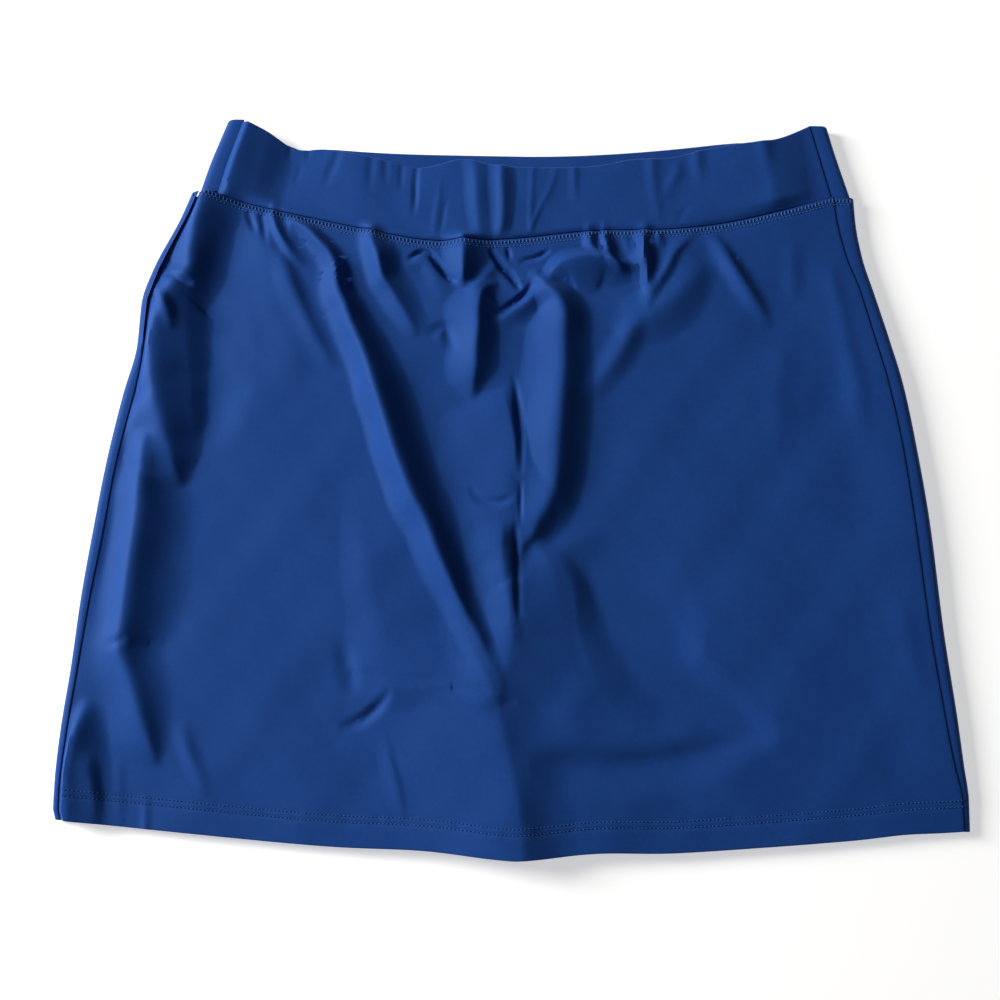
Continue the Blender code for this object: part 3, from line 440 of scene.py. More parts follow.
BAND_FOLDS = [
    Fold("band_sink", 0.4, 2, [
        (-144, 229, -3.2, 90, 22), (-147, 208, -3.6, 90, 22), (-150, 188, -3.4, 90, 22),
        (-153, 164, -2.6, 80, 20),
    ]),
    Fold("band_dip", 0.4, 1.5, [
        (-79, 216, -2, 38, 32), (-77, 182, -2.2, 38, 32), (-76, 148, -2, 38, 32),
    ]),
    Fold("band_climb", 0.4, 2, [(172, 235, 3.4, 12, 85), (176, 201, 3.4, 12, 85), (179, 170, 3, 12, 85)]),
    Fold("end_wrinkle", 0.22, 2, [
        (-192.5, 195, 0, 2.5, 2.5), (-192, 186.5, -1.6, 3, 3.5), (-191.5, 180, -2.4, 3.5, 4),
        (-192, 173, -2.8, 4, 5),
    ]),
    Fold("band_fall", 0.22, 1.9, [
        (-182, 231, 5.6, 30, 8), (-184, 214, 6.4, 31, 8), (-188, 197, 6.6, 31, 8), (-191, 183, 6.4, 30, 8),
        (-193, 169, 5.6, 26, 8),
    ]),
    Fold("streak_a", 0.35, 2, [(-150.5, 214, -0.6, 3, 4), (-151, 208, -0.5, 3, 4), (-151, 201, 0, 3, 4)]),
    Fold("streak_b", 0.35, 2, [(-139, 213, -0.5, 3, 4), (-139, 207, -0.4, 3, 4), (-139.5, 200, 0, 3, 4)]),
    Fold("streak_c", 0.35, 2, [
        (-143, 201.5, 0, 4, 4), (-145, 193, -0.3, 4, 4), (-146.5, 183.5, 0, 4, 4),
    ]),
    Fold("streak_d", 0.3, 2, [
        (-119, 210, -0.5, 4, 4), (-121.5, 201.5, -0.8, 4, 5), (-125, 192, -0.7, 4, 5),
        (-128, 182.5, 0, 4, 4),
    ]),
    Fold("streak_e", 0.3, 2, [
        (-98, 204, -0.8, 3.5, 4), (-98.5, 195.5, -0.8, 3.5, 4), (-98.5, 186, -0.4, 3, 4),
        (-99, 177.5, 0, 3, 4),
    ]),
    Fold("streak_f", 0.3, 2, [(-89, 202.5, -0.6, 3, 3.5), (-89, 194, -0.6, 3, 3.5), (-88, 186, 0, 3, 3)]),
    Fold("streak_g", 0.3, 2, [(-78.5, 200, -0.5, 3, 3), (-79, 190.5, -0.6, 3, 3), (-79, 180.5, 0, 3, 3)]),
    Fold("streak_h", 0.28, 2, [
        (-69, 198.5, -0.6, 3, 3.5), (-69.5, 187.5, -1.1, 3, 4), (-69.5, 175.5, -1, 3, 4),
        (-70.5, 164.5, 0, 3, 4),
    ]),
    Fold("streak_i", 0.35, 2, [
        (-54, 193, 0, 4, 4), (-54.5, 179, 0.3, 4, 4), (-56, 165.5, 0.4, 4, 4), (-57, 151.5, 0.2, 4, 4),
    ]),
    Fold("streak_j", 0.3, 2, [
        (-49, 178.5, 0, 3, 3), (-51, 167.5, -0.4, 3, 3.5), (-52.5, 155.5, -0.3, 3, 3),
    ]),
    Fold("pinch_a", 0.28, 1.5, [
        (-33, 205, 1.4, 12, 9), (-31, 190, 2.4, 13, 9), (-30, 176, 2.3, 12, 9), (-28, 153, 1.4, 10, 7),
    ]),
    Fold("pinch_b", 0.2, 1.4, [
        (-15, 202, 2.2, 9, 9), (-15, 189, 2.9, 10, 9), (-14, 175, 2.8, 9, 9), (-14, 163, 2.4, 8, 8),
        (-15, 151, 1.8, 6, 6),
    ]),
    Fold("pinch_c", 0.28, 2, [
        (5, 197.5, 0.4, 4, 4), (4.5, 183.5, 0.4, 4, 4), (4, 170, 0.5, 4, 4), (4, 152.5, 0.5, 4, 4),
    ]),
    Fold("pinch_d", 0.28, 2, [
        (14.5, 182.5, 0, 3, 3), (10.5, 173, 0.3, 3, 3.5), (7, 163.5, 0.5, 3, 3.5), (4, 154, 0.3, 3, 3),
    ]),
    Fold("pinch_e", 0.35, 2, [
        (20, 199, 0.2, 4, 4), (17.5, 188, 0.4, 4, 5), (13.5, 177, 0.3, 4, 5), (10.5, 169, 0, 3, 4),
    ]),
    Fold("streak_k", 0.35, 2, [(31.5, 202, 0.6, 5, 5), (31.5, 189.5, 0.6, 5, 5), (32, 174, 0, 5, 5)]),
    Fold("streak_l", 0.22, 2, [
        (81, 207, 1, 7, 6), (81, 197, 1, 7, 6), (82, 187, 0.7, 7, 6), (84, 172, 0.5, 6, 6),
        (85, 157, 0.2, 6, 6),
    ]),
    Fold("streak_m", 0.28, 2, [
        (98, 206, 0, 5, 6), (97, 198, 0.8, 7, 6), (93, 188, 0.6, 7, 6), (89, 177, 0, 6, 6),
    ]),
    Fold("streak_n", 0.3, 2, [
        (110, 212, 1, 6, 6), (110, 203, 1.2, 7, 7), (111, 194, 0.5, 7, 7), (112, 184, 0, 6, 6),
    ]),
    Fold("streak_o", 0.4, 2, [
        (152, 222, 1, 8, 8), (153, 212, 1, 8, 8), (155, 199, 0.4, 9, 9), (158, 185, 0.5, 9, 9),
        (160, 170, 0.4, 9, 9),
    ]),
    Fold("streak_p", 0.35, 2, [
        (105.5, 175.5, 0, 3, 3), (100, 168, -0.5, 3, 3), (96.5, 159.5, -0.4, 3, 3),
    ]),
]

# The inner shorts, a row for each section down one leg. Inner is the middle seam, then the inseam.
ShortsRow = namedtuple("ShortsRow", "inner_x inner_y outer_x outer_y")
SHORTS = [
    ShortsRow(0.2, 90, 211, 105),
    ShortsRow(0.2, 30, 216, 30),
    ShortsRow(0.2, -33, 216, -50),
    ShortsRow(20.0, -68, 213, -100),
    ShortsRow(50.0, -108, 205, -166),
]
CROTCH_ROW = 3
SHORTS_TOP_OUTER_X = 198.0
SHORTS_MIDDLE_X = 4.0
SHORTS_SIDE_DROP = 8.0
SHORTS_LOW = 1.5
SHORTS_HIGH = 3.8
INSEAM_WELD = 0.002

# Mesh density. An inner face has one line for each few of its outer face.
SKIRT_COLUMNS = 352
SKIRT_ROWS = 248
BAND_COLUMNS = 360
BAND_ROWS = 48
BACK_ROWS = 60
BACK_BAND_ROWS = 16
INNER_COARSER = 4
ROLL_STEPS = 14
BACK_FLAT_STEPS = 42
SHORTS_FLAT_STEPS = 16
SHORTS_ROW_STEPS = 9
CURVE_STEPS = 5
SPACING_STEPS = 500

# Where the outer grids gather their lines: a share of the way across or down, a reach and a weight.
MIDDLE_GATHER = (0.46, 0.16, 1.1)
LEFT_GATHER = (0.09, 0.055, 0.75)
HEM_GATHER = (0.958, 0.02, 0.7)
END_REACH = 0.02
END_WEIGHT = 2.2

# Small unevenness of the cloth between its folds: each wave has a length and a height.
Wave = namedtuple("Wave", "length_x length_y height phase")
SLACK = [
    Wave(83.0, 140.0, 0.22, 0.4),
    Wave(-61.0, 97.0, 0.18, 1.9),
    Wave(37.0, -52.0, 0.08, 3.1),
    Wave(23.0, 31.0, 0.035, 5.2),
]

# The hem is turned under once and caught by two rows of stitches, which pucker it unevenly.
HEM_ROWS = (14.4, 18.0)
HEM_STEP = 0.30
HEM_STEP_REACH = 2.0
STITCH_DITCH = 0.42
STITCH_DITCH_REACH = 1.1
PUCKER = 0.35
PUCKER_LENGTHS = (1.9, 7.3)

# A thread runs over a share of the way from one needle hole to the next, and arches above a height
# over the cloth.
Thread = namedtuple("Thread", "start end low arch radius")
WAIST_LOOP = Thread(0.0, 1.0, -0.10, 0.34, 0.46)
WAIST_LINK = Thread(0.05, 0.95, 0.02, 0.12, 0.22)
WAIST_DASH = Thread(0.2, 0.75, -0.02, 0.22, 0.32)
HEM_STITCH = Thread(0.08, 0.58, -0.04, 0.24, 0.27)
# The short dark threads between the hem stitches are painted shade: they stand for the shade in the needle
# holes.
HEM_HOLE_SHADE = Thread(0.62, 1.04, -0.04, 0.06, 0.27)
WAIST_ROWS = (1.2, 3.8, 5.3)
STITCH_PITCH = 2.3
STITCH_INSET = 1.5
HEM_END_Y = -190.0
LINE_STEPS = 1200
THREAD_STEPS = 5
THREAD_SIDES = 6
THREAD_TAPER = 0.55

KNIT_BLUE = (0.0125, 0.062, 0.280)
KNIT_LIGHT = (0.0180, 0.080, 0.350)
SHORTS_BLUE = (0.014, 0.044, 0.170)
THREAD_BLUE = (0.055, 0.150, 0.420)
# This dark blue is painted shade for the hem's needle holes, not the colour of a real thread.
HOLE_SHADE_BLUE = (0.004, 0.018, 0.080)
SHEEN_BLUE = (0.45, 0.60, 1.0, 1.0)
GLOSS_BLUE = (0.35, 0.6, 1.0, 1.0)
FLOOR_WHITE = (0.93, 0.93, 0.93)
FLOOR_GLOW = (1.0, 1.0, 1.0, 1.0)
FLOOR_SIZE = 3.0
FLOOR_Z = -0.0001

# An area light faces the garment's middle from an azimuth, counted from +X, and an elevation.
Light = namedtuple("Light", "name azimuth elevation distance size power colour")
LIGHTS = [
    Light("window", 164.0, 26.0, 2.6, (0.9, 1.1), 90.0, (1.0, 0.985, 0.96)),
    Light("overhead", 80.0, 78.0, 2.2, (2.0, 2.0), 1.6, (0.96, 0.98, 1.0)),
]
STUDIO_COLOUR = (0.95, 0.97, 1.0, 1.0)
STUDIO_STRENGTH = 0.035

# The camera stands over the hem side and looks down at the garment, turned slightly.
CAMERA_ELEVATION = 79.0
CAMERA_ROLL = 1.02
CAMERA_DISTANCE = 0.85
CAMERA_AIM = (-0.00986, -0.01772, 0.006)
CAMERA_LENS = 50.0
CAMERA_SENSOR = 36.0


def smooth(t):
    """0 up to t = 0, 1 from t = 1, and level at both."""
    t = np.clip(t, 0.0, 1.0)
    return t * t * (3.0 - 2.0 * t)


def through(table, key, column, at):
    """A column of a table read at any key: a curve through its rows with no overshoot."""
    rows = sorted(table, key=lambda row: getattr(row, key))
    xs = np.array([getattr(row, key) for row in rows], float)
    ys = np.array([getattr(row, column) for row in rows], float)
    slopes = np.diff(ys) / np.diff(xs)
    tangents = np.empty_like(ys)
    tangents[0] = slopes[0]
    tangents[-1] = slopes[-1]
    same_way = slopes[:-1] * slopes[1:] > 0
    total = np.where(same_way, slopes[:-1] + slopes[1:], 1.0)
    tangents[1:-1] = np.where(same_way, 2.0 * slopes[:-1] * slopes[1:] / total, 0.0)
    at = np.clip(np.asarray(at, float), xs[0], xs[-1])
    index = np.clip(np.searchsorted(xs, at) - 1, 0, len(xs) - 2)
    span = xs[index + 1] - xs[index]
    t = (at - xs[index]) / span
    rise = 3.0 * t**2 - 2.0 * t**3
    bend = (t**3 - 2.0 * t**2 + t) * tangents[index] + (t**3 - t**2) * tangents[index + 1]
    return ys[index] + (ys[index + 1] - ys[index]) * rise + span * bend


def seam_x(side, y):
    """Where the side seam lies on top, at a height y on the garment."""
    edge = through(side, "y", "edge", y)
    strip = through(side, "y", "strip", y)
    return edge - np.sign(edge) * strip


def line_y(line, x):
    """The height of a line across the garment at x."""
    to_left = np.clip(x / line.left_x, 0.0, 1.0) ** line.left_power
    to_right = np.clip(x / line.right_x, 0.0, 1.0) ** line.right_power
    left = (line.left_y - line.middle_y) * to_left
    right = (line.right_y - line.middle_y) * to_right
    y = line.middle_y + np.where(x < 0, left, right)
    for wave_x, rise, width in line.waves:
        y = y + rise * np.exp(-(((x - wave_x) / width) ** 2))
    return y


def below_roll_x(side, y):
    """Where the cloth of the back meets the surface below, inside the garment's edge."""
    edge = through(side, "y", "edge", y)
    return edge - np.sign(edge) * through(side, "y", "roll", y)


def corner(line, side, x_at, inset=0.0):
    """Where a line meets a side of the garment, found from the line's own end."""
    y = line.left_y if side[0].edge < 0 else line.right_y
    for _ in range(CORNER_PASSES):
        x = float(x_at(side, y))
        x -= np.sign(x) * inset
        y = float(line_y(line, x))
    return x, y


def fold_curve(fold):
    """The fold's knots and points between them on a smooth curve, each (x, y, height, left, right)."""
    knots = np.array(fold.knots, float)
    chords = np.hypot(*np.diff(knots[:, :2], axis=0).T)
    at = np.concatenate([[0.0], np.cumsum(chords)])
    slopes = np.gradient(knots, at, axis=0)
    points = []
    for i, chord in enumerate(chords):
        t = np.arange(CURVE_STEPS)[:, None] / CURVE_STEPS
        points.append(
            knots[i] * (1 + 2 * t) * (1 - t) ** 2
            + knots[i + 1] * (3 - 2 * t) * t**2
            + slopes[i] * chord * t * (1 - t) ** 2
            - slopes[i + 1] * chord * (1 - t) * t**2
        )
    return np.vstack([*points, knots[-1:]])


def fold_lift(fold, x, y):
    """How much one fold lifts the cloth at each point."""
    curve = fold_curve(fold)
    margin = curve[:, 3:].max()
    low, high = curve[:, :2].min(axis=0) - margin, curve[:, :2].max(axis=0) + margin
    near = (x > low[0]) & (x < high[0]) & (y > low[1]) & (y < high[1])
    px, py = x[near], y[near]
    nearest = np.full(px.shape, np.inf)
    height = np.zeros(px.shape)
    width = np.ones(px.shape)
    for begin, end in zip(curve[:-1], curve[1:]):
        step = end - begin
        reach = (px - begin[0]) * step[0] + (py - begin[1]) * step[1]
        reach = np.clip(reach / (step[0] ** 2 + step[1] ** 2), 0.0, 1.0)
        off_x = px - begin[0] - reach * step[0]
        off_y = py - begin[1] - reach * step[1]
        distance = np.hypot(off_x, off_y)
        closer = distance < nearest
        to_left = step[0] * off_y - step[1] * off_x > 0
        side = np.where(to_left, begin[3] + reach * step[3], begin[4] + reach * step[4])
        nearest = np.where(closer, distance, nearest)
        height = np.where(closer, begin[2] + reach * step[2], height)
        width = np.where(closer, side, width)
    width = np.maximum(width, 1.0)
    crest = np.maximum(fold.crest * width, LEAST_CREST)
    nearest = np.minimum(nearest, width)
    share = (np.hypot(nearest, crest) - crest) / (np.hypot(width, crest) - crest)
    lift = np.zeros(x.shape)
    lift[near] = height * (1.0 - share) ** fold.fall
    return lift


def lifted(height, x, y, folds):
    """The height with the lift of every fold."""
    for fold in folds:
        height = height + fold_lift(fold, x, y)
    return height


def slack_height(x, y):
    """The slight waviness of cloth that lies loose."""
    height = np.zeros(x.shape)
    for wave in SLACK:
        turn = 2.0 * np.pi * (x / wave.length_x + y / wave.length_y) + wave.phase
        height = height + wave.height * np.sin(turn)
    return height


def hem_relief(x, y):
    """The turned hem stands a little proud, with a ditch along each row of stitches."""
    rise = y - line_y(FRONT_HEM, x)
    height = HEM_STEP * (1.0 - smooth((rise - HEM_ROWS[1]) / HEM_STEP_REACH))
    pucker = 1.0 + PUCKER * np.sin(x / PUCKER_LENGTHS[0]) * np.sin(x / PUCKER_LENGTHS[1])
    for row in HEM_ROWS:
        height = height - STITCH_DITCH * pucker * np.exp(-(((rise - row) / STITCH_DITCH_REACH) ** 2))
    return height


def level_height(x, drop):
    """The height of the front's outer face without its folds."""
    middle, left, right = (through(LEVELS, "drop", place, drop) for place in ("middle", "left", "right"))
    outward = np.clip(np.abs(x) / HALF_WIDTH, 0.0, 1.0) ** LEVEL_POWER
    return middle + (np.where(x < 0, left, right) - middle) * outward


def held_by_seam(height, x, drop):
    """The height with the dip and the crease where the waist seam holds the cloth down."""
    depth = CREASE_DEPTH * (1.0 - CREASE_FADE * smooth((x - CREASE_FADE_X[0]) / CREASE_FADE_X[1]))
    height = height - depth * (1.0 - smooth(np.abs(drop) / CREASE_REACH))
    away = np.where(drop > 0, drop, -drop * BAND_STIFFNESS)
    return height - HELD_DEPTH * (1.0 - smooth(away / HELD_REACH))


def down_to_rims(height, x, y, sides, steps):
    """The height eased down to the back's turned-up rim at both side seams."""
    for rows, inward, reach, step in zip(sides, (1.0, -1.0), RIM_REACH, steps):
        rim = 2.0 * through(rows, "y", "roll", y) + step
        inside = smooth((x - seam_x(rows, y)) * inward / reach)
        height = rim + (height - rim) * inside
    return height


def front_height(x, y, sides, folds):
    """The height of the front's outer face, over the skirt or the waistband."""
    seam_y = line_y(FRONT_WAIST, x)
    drop = seam_y - y
    base = level_height(x, drop) + slack_height(x, y)
    height = lifted(base, x, y, folds)
    if folds is BAND_FOLDS:
        below = lifted(np.zeros(x.shape), x, seam_y, SKIRT_FOLDS)
        joined = 1.0 - smooth(-drop / JOIN_REACH)
        height = height + (base + below - height) * joined + BAND_PROUD
    height = held_by_seam(height, x, drop) + hem_relief(x, y)
    over = height - LEAST_HEIGHT
    height = LEAST_HEIGHT + 0.5 * (over + np.sqrt(over**2 + LEAST_SOFTNESS))
    return down_to_rims(height, x, y, sides, BAND_STEPS if folds is BAND_FOLDS else SKIRT_STEPS)


def top_height(x, y, sides, folds):
    """The height of whatever shows from above at a point: the front, or the back's turned-up side."""
    height = front_height(x, y, sides, folds)
    for rows, outward in zip(sides, (-1.0, 1.0)):
        edge = through(rows, "y", "edge", y)
        roll = through(rows, "y", "roll", y)
        past_seam = (x - seam_x(rows, y)) * outward > 0
        from_axis = np.clip((x - edge) * outward + roll, 0.0, roll)
        over_roll = roll + np.sqrt(np.maximum(roll**2 - from_axis**2, 0.0))
        height = np.where(past_seam, over_roll, height)
    return height


def spaced(count, weight):
    """Count + 1 numbers from 0 to 1, closer together where weight is larger."""
    fine = np.linspace(0.0, 1.0, SPACING_STEPS)
    total = np.concatenate([[0.0], np.cumsum(weight(fine[:-1]))])
    return np.interp(np.linspace(0.0, 1.0, count + 1), total / total[-1], fine)


def near_ends(t):
    """A weight that gathers grid lines at both seams."""
    return END_WEIGHT * (np.exp(-t / END_REACH) + np.exp(-(1.0 - t) / END_REACH))


def gather(t, at, reach, weight):
    """A weight that gathers grid lines round one place."""
    return weight * np.exp(-(((t - at) / reach) ** 4))


def patch(us, vs, top, bottom, sides, gaps):
    """Points (x, y) of a panel between its top and bottom lines and its two side seams."""
    top_gap, bottom_gap, *side_gaps = gaps
    edges = []
    for side, side_gap in zip(sides, side_gaps):
        begin_y = corner(top, side, seam_x, side_gap)[1]
        end_y = corner(bottom, side, seam_x, side_gap)[1]
        y = begin_y + (end_y - begin_y) * vs
        x = seam_x(side, y)
        edges.append(np.stack([x - np.sign(x) * side_gap, y], axis=-1))
    left, right = edges
    across = []
    for line, end in ((top, 0), (bottom, -1)):
        x = left[end, 0] + (right[end, 0] - left[end, 0]) * us
        across.append(np.stack([x, line_y(line, x)], axis=-1))
    u = us[None, :, None]
    v = vs[:, None, None]
    corners = (left[0], right[0], left[-1], right[-1])
    blend = (1 - v) * ((1 - u) * corners[0] + u * corners[1])
    blend = blend + v * ((1 - u) * corners[2] + u * corners[3])
    points = (1 - v) * across[0][None] + v * across[1][None]
    points = points + (1 - u) * left[:, None] + u * right[:, None] - blend
    points[..., 1] += bottom_gap * v[..., 0] - top_gap * (1 - v[..., 0])
    return points


def across_weight(t):
    """Gathers grid columns over the folds in the middle and along the left side."""
    return 0.42 + gather(t, *MIDDLE_GATHER) + gather(t, *LEFT_GATHER) + 0.12 * near_ends(t)


def down_weight(t):
    """Gathers grid rows under the waist and over the hem's stitches."""
    return 1.45 - 0.75 * smooth(t / 0.75) + gather(t, *HEM_GATHER) + 0.35 * near_ends(t)


def front_points(columns, rows, top, bottom, sides, folds, gaps):
    """The outer face of a front piece, from its top line down."""
    points = patch(spaced(columns, across_weight), spaced(rows, down_weight), top, bottom, sides, gaps)
    x, y = points[..., 0], points[..., 1]
    return np.dstack([x, y, front_height(x, y, sides, folds)])


def rolled_side(side, y, gap):
    """One row of the back's turned-up side, from its seam over the roll to the surface below."""
    edge = float(through(side, "y", "edge", y))
    roll = float(through(side, "y", "roll", y))
    outward = np.sign(edge)
    centre = edge - outward * roll
    points = [(float(seam_x(side, y)) + outward * gap, 2.0 * roll)]
    for angle in np.linspace(90.0, -90.0, ROLL_STEPS + 1):
        turn = np.radians(angle)
        points.append((centre + outward * roll * np.cos(turn), roll + roll * np.sin(turn)))
    return points


def back_points(rows, top, bottom, sides, gaps):
    """The outer face of a back piece, each row from the right seam round below to the left one."""
    top_gap, bottom_gap, left_gap, right_gap = gaps
    shares = np.linspace(0.0, 1.0, BACK_FLAT_STEPS + 1)[1:-1]
    (top_left, bottom_left), (top_right, bottom_right) = [
        [corner(line, side, below_roll_x)[1] for line in (top, bottom)] for side in sides
    ]
    sheet = []
    for v in spaced(rows, down_weight):
        left_y = top_left + (bottom_left - top_left) * v
        right_y = top_right + (bottom_right - top_right) * v
        left = rolled_side(sides[0], left_y, left_gap)
        right = rolled_side(sides[1], right_y, right_gap)
        xs = right[-1][0] + (left[-1][0] - right[-1][0]) * shares
        high, low = line_y(top, xs), line_y(bottom, xs)
        shift = bottom_gap * v - top_gap * (1.0 - v)
        row = [(x, right_y + shift, z) for x, z in right]
        row += [(x, y + shift, 0.0) for x, y in zip(xs, high + (low - high) * v)]
        row += [(x, left_y + shift, z) for x, z in reversed(left)]
        sheet.append(row)
    return np.array(sheet)


def shorts_row(row_share, top_wall):
    """Inner and outer ends (x, y) of one section of a shorts wall, with x outward from the middle."""
    waist = FRONT_WAIST if top_wall else BACK_WAIST
    inner_y, outer_y = waist.middle_y - SEAM_GAP, waist.left_y - SHORTS_SIDE_DROP
    rows = [ShortsRow(SHORTS[0].inner_x, inner_y, SHORTS_TOP_OUTER_X, outer_y)] + SHORTS
    index = min(int(row_share), len(rows) - 2)
    part = row_share - index
    return [a + (b - a) * part for a, b in zip(rows[index], rows[index + 1])]


def shorts_points(toward):
    """The outer face of one leg, each row round its section. toward is -1 on the left, 1 on the right."""
    sections = np.linspace(0.0, len(SHORTS), len(SHORTS) * SHORTS_ROW_STEPS + 1)
    roll = (SHORTS_HIGH - SHORTS_LOW) / 2.0
    sheet = []
    for section in sections:
        row = []
        for top_wall in (False, True):
            inner_x, inner_y, outer_x, outer_y = shorts_row(section, top_wall)
            closed = section >= CROTCH_ROW
            z = SHORTS_HIGH if top_wall else SHORTS_LOW
            shares = np.linspace(0.0, 1.0, SHORTS_FLAT_STEPS)
            xs = inner_x + roll + (outer_x - inner_x - 2.0 * roll) * shares
            ys = inner_y + (outer_y - inner_y) * shares**2
            wall = [(inner_x, inner_y, SHORTS_LOW + roll if closed else z)]
            wall += [(x, y, z) for x, y in zip(xs, ys)]
            if top_wall:
                wall.reverse()
            row.append(wall)
        side = (outer_x, outer_y, SHORTS_LOW + roll)
        row = row[0] + [side] + row[1]
        if toward > 0:
            row.reverse()
        sheet.append([(SHORTS_MIDDLE_X + toward * x, y, z) for x, y, z in row])
    return np.array(sheet)


def to_frame(points):
    """Garment millimetres to the frame's metres."""
    shift = np.array([GARMENT_TO_FRAME[0], GARMENT_TO_FRAME[1], 0.0])
    return (np.asarray(points, float) + shift) * MM


def add_object(name, data):
    made = bpy.data.objects.new(name, data)
    bpy.context.scene.collection.objects.link(made)
    return made


def add_piece(name, mesh, material):
    mesh.materials.append(material)
    mesh.shade_smooth()
    return add_object(name, mesh)


def mesh_of(name, points, faces):
    mesh = bpy.data.meshes.new(name)
    mesh.from_pydata(to_frame(points.reshape(-1, 3)).tolist(), [], faces)
    mesh.update()
    return mesh


def quads(grid):
    """The faces between the points of a grid of their numbers."""
    corners = (grid[:-1, :-1], grid[1:, :-1], grid[1:, 1:], grid[:-1, 1:])
    return np.stack(corners, -1).reshape(-1, 4).tolist()


def sheet_normals(points):
    """The unit vector out of a grid of points, at each one."""
    normals = np.cross(np.gradient(points, axis=0), np.gradient(points, axis=1))
    return normals / np.linalg.norm(normals, axis=2, keepdims=True)


def rounded_edge(edge, near, normal, radius):
    """Rows of points that continue a sheet past its edge and down round it, nearest first."""
    outward = edge - near
    outward /= np.linalg.norm(outward, axis=1, keepdims=True)
    turns = np.radians(EDGE_TURNS)[:, None, None]
    return edge + radius * (outward * np.sin(turns) - normal * (1.0 - np.cos(turns)))


def with_rounded_edges(points, rounds):
    """The grid with its top, bottom, first and last columns turned down by the four radii."""
    for end, radius in ((0, rounds[0]), (-1, rounds[1])):
        near = 1 if end == 0 else -2
        rows = rounded_edge(points[end], points[near], sheet_normals(points)[end], radius)
        points = np.concatenate([rows[::-1], points] if end == 0 else [points, rows])
    normals = sheet_normals(points)
    left = rounded_edge(points[:, 0], points[:, 1], normals[:, 0], rounds[2])
    right = rounded_edge(points[:, -1], points[:, -2], normals[:, -1], rounds[3])
    left, right = left[::-1].swapaxes(0, 1), right.swapaxes(0, 1)
    return np.concatenate([left, points, right], axis=1)


def stations(count, total):
    """The place on the outer grid's side that each place on the inner grid's side is joined to."""
    return [0] + [len(EDGE_TURNS) + INNER_COARSER * i for i in range(1, count - 1)] + [total - 1]


def cloth_shell(name, points, wall, material, rounds):
    """A closed shell of cloth: its outer face on the points, its edges rounded, its inner face coarser."""
    inner = (points - wall * sheet_normals(points))[::INNER_COARSER, ::INNER_COARSER]
    outer = with_rounded_edges(points, rounds)
    rows, columns = outer.shape[:2]
    out = np.arange(rows * columns).reshape(rows, columns)
    into = np.arange(inner.shape[0] * inner.shape[1]).reshape(inner.shape[:2]) + rows * columns
    faces = quads(out) + quads(into[:, ::-1])
    down = stations(inner.shape[0], rows)
    for i, (high, low) in enumerate(zip(down[:-1], down[1:])):
        faces.append([*out[high : low + 1, -1], into[i + 1, -1], into[i, -1]])
        faces.append([*out[high : low + 1, 0][::-1], into[i, 0], into[i + 1, 0]])
    across = stations(inner.shape[1], columns)
    for i, (left, right) in enumerate(zip(across[:-1], across[1:])):
        faces.append([*out[0, left : right + 1], into[0, i + 1], into[0, i]])
        faces.append([*out[-1, left : right + 1][::-1], into[-1, i], into[-1, i + 1]])
    verts = np.concatenate([outer.reshape(-1, 3), inner.reshape(-1, 3)])
    mesh = mesh_of(name, verts, [[int(v) for v in face] for face in faces])
    piece = add_piece(name, mesh, material)
    mesh.set_sharp_from_angle(angle=np.radians(SHARP_ANGLE))
    return piece


def thick_tube(name, points, wall, material):
    """A shell laid through the points and thickened inwards, closed where its edges meet."""
    rows, columns = points.shape[:2]
    grid = np.arange(rows * columns).reshape(rows, columns)
    piece = add_piece(name, mesh_of(name, points, quads(grid)), material)
    weld = piece.modifiers.new("inseam", "WELD")
    weld.merge_threshold = INSEAM_WELD * MM
    solidify = piece.modifiers.new("wall", "SOLIDIFY")
    solidify.thickness = wall * MM
    solidify.offset = -1.0
    solidify.use_even_offset = True
    return piece


def thread_mesh(name, paths, radius):
    """One mesh of many short threads. Paths is an array of threads, each a run of points."""
    heading = np.gradient(paths, axis=1)
    heading /= np.linalg.norm(heading, axis=2, keepdims=True)
    sideways = np.cross(heading, [0.0, 0.0, 1.0])
    sideways /= np.linalg.norm(sideways, axis=2, keepdims=True)
    upward = np.cross(sideways, heading)
    count, steps = paths.shape[:2]
    taper = np.ones(steps)
    taper[[0, -1]] = THREAD_TAPER
    ring = np.arange(THREAD_SIDES)
    after = (ring + 1) % THREAD_SIDES
    turn = 2.0 * np.pi * ring / THREAD_SIDES
    around = sideways[:, :, None] * np.cos(turn)[:, None] + upward[:, :, None] * np.sin(turn)[:, None]
    verts = paths[:, :, None] + around * (radius * taper)[:, None, None]
    last = (steps - 1) * THREAD_SIDES
    faces = []
    for first in range(0, count * steps * THREAD_SIDES, steps * THREAD_SIDES):
        for step in range(first, first + last, THREAD_SIDES):
            following = step + THREAD_SIDES
            corners = (step + ring, step + after, following + after, following + ring)
            faces += np.stack(corners, -1).tolist()
        faces.append((first + ring[::-1]).tolist())
        faces.append((first + last + ring).tolist())
    return mesh_of(name, verts, faces)


def evenly(line, rise, left_y, right_y):
    """Points a stitch apart and a rise above a line across, from the left edge to the right one."""
    left = through(LEFT_SKIRT, "y", "edge", left_y) + STITCH_INSET
    right = through(RIGHT_SKIRT, "y", "edge", right_y) - STITCH_INSET
    xs = np.linspace(left, right, LINE_STEPS)
    ys = line_y(line, xs) + rise
    run = np.concatenate([[0.0], np.cumsum(np.hypot(np.diff(xs), np.diff(ys)))])
    at = np.arange(int(run[-1] / STITCH_PITCH) + 1) * STITCH_PITCH
    return np.stack([np.interp(at, run, xs), np.interp(at, run, ys)], axis=-1)


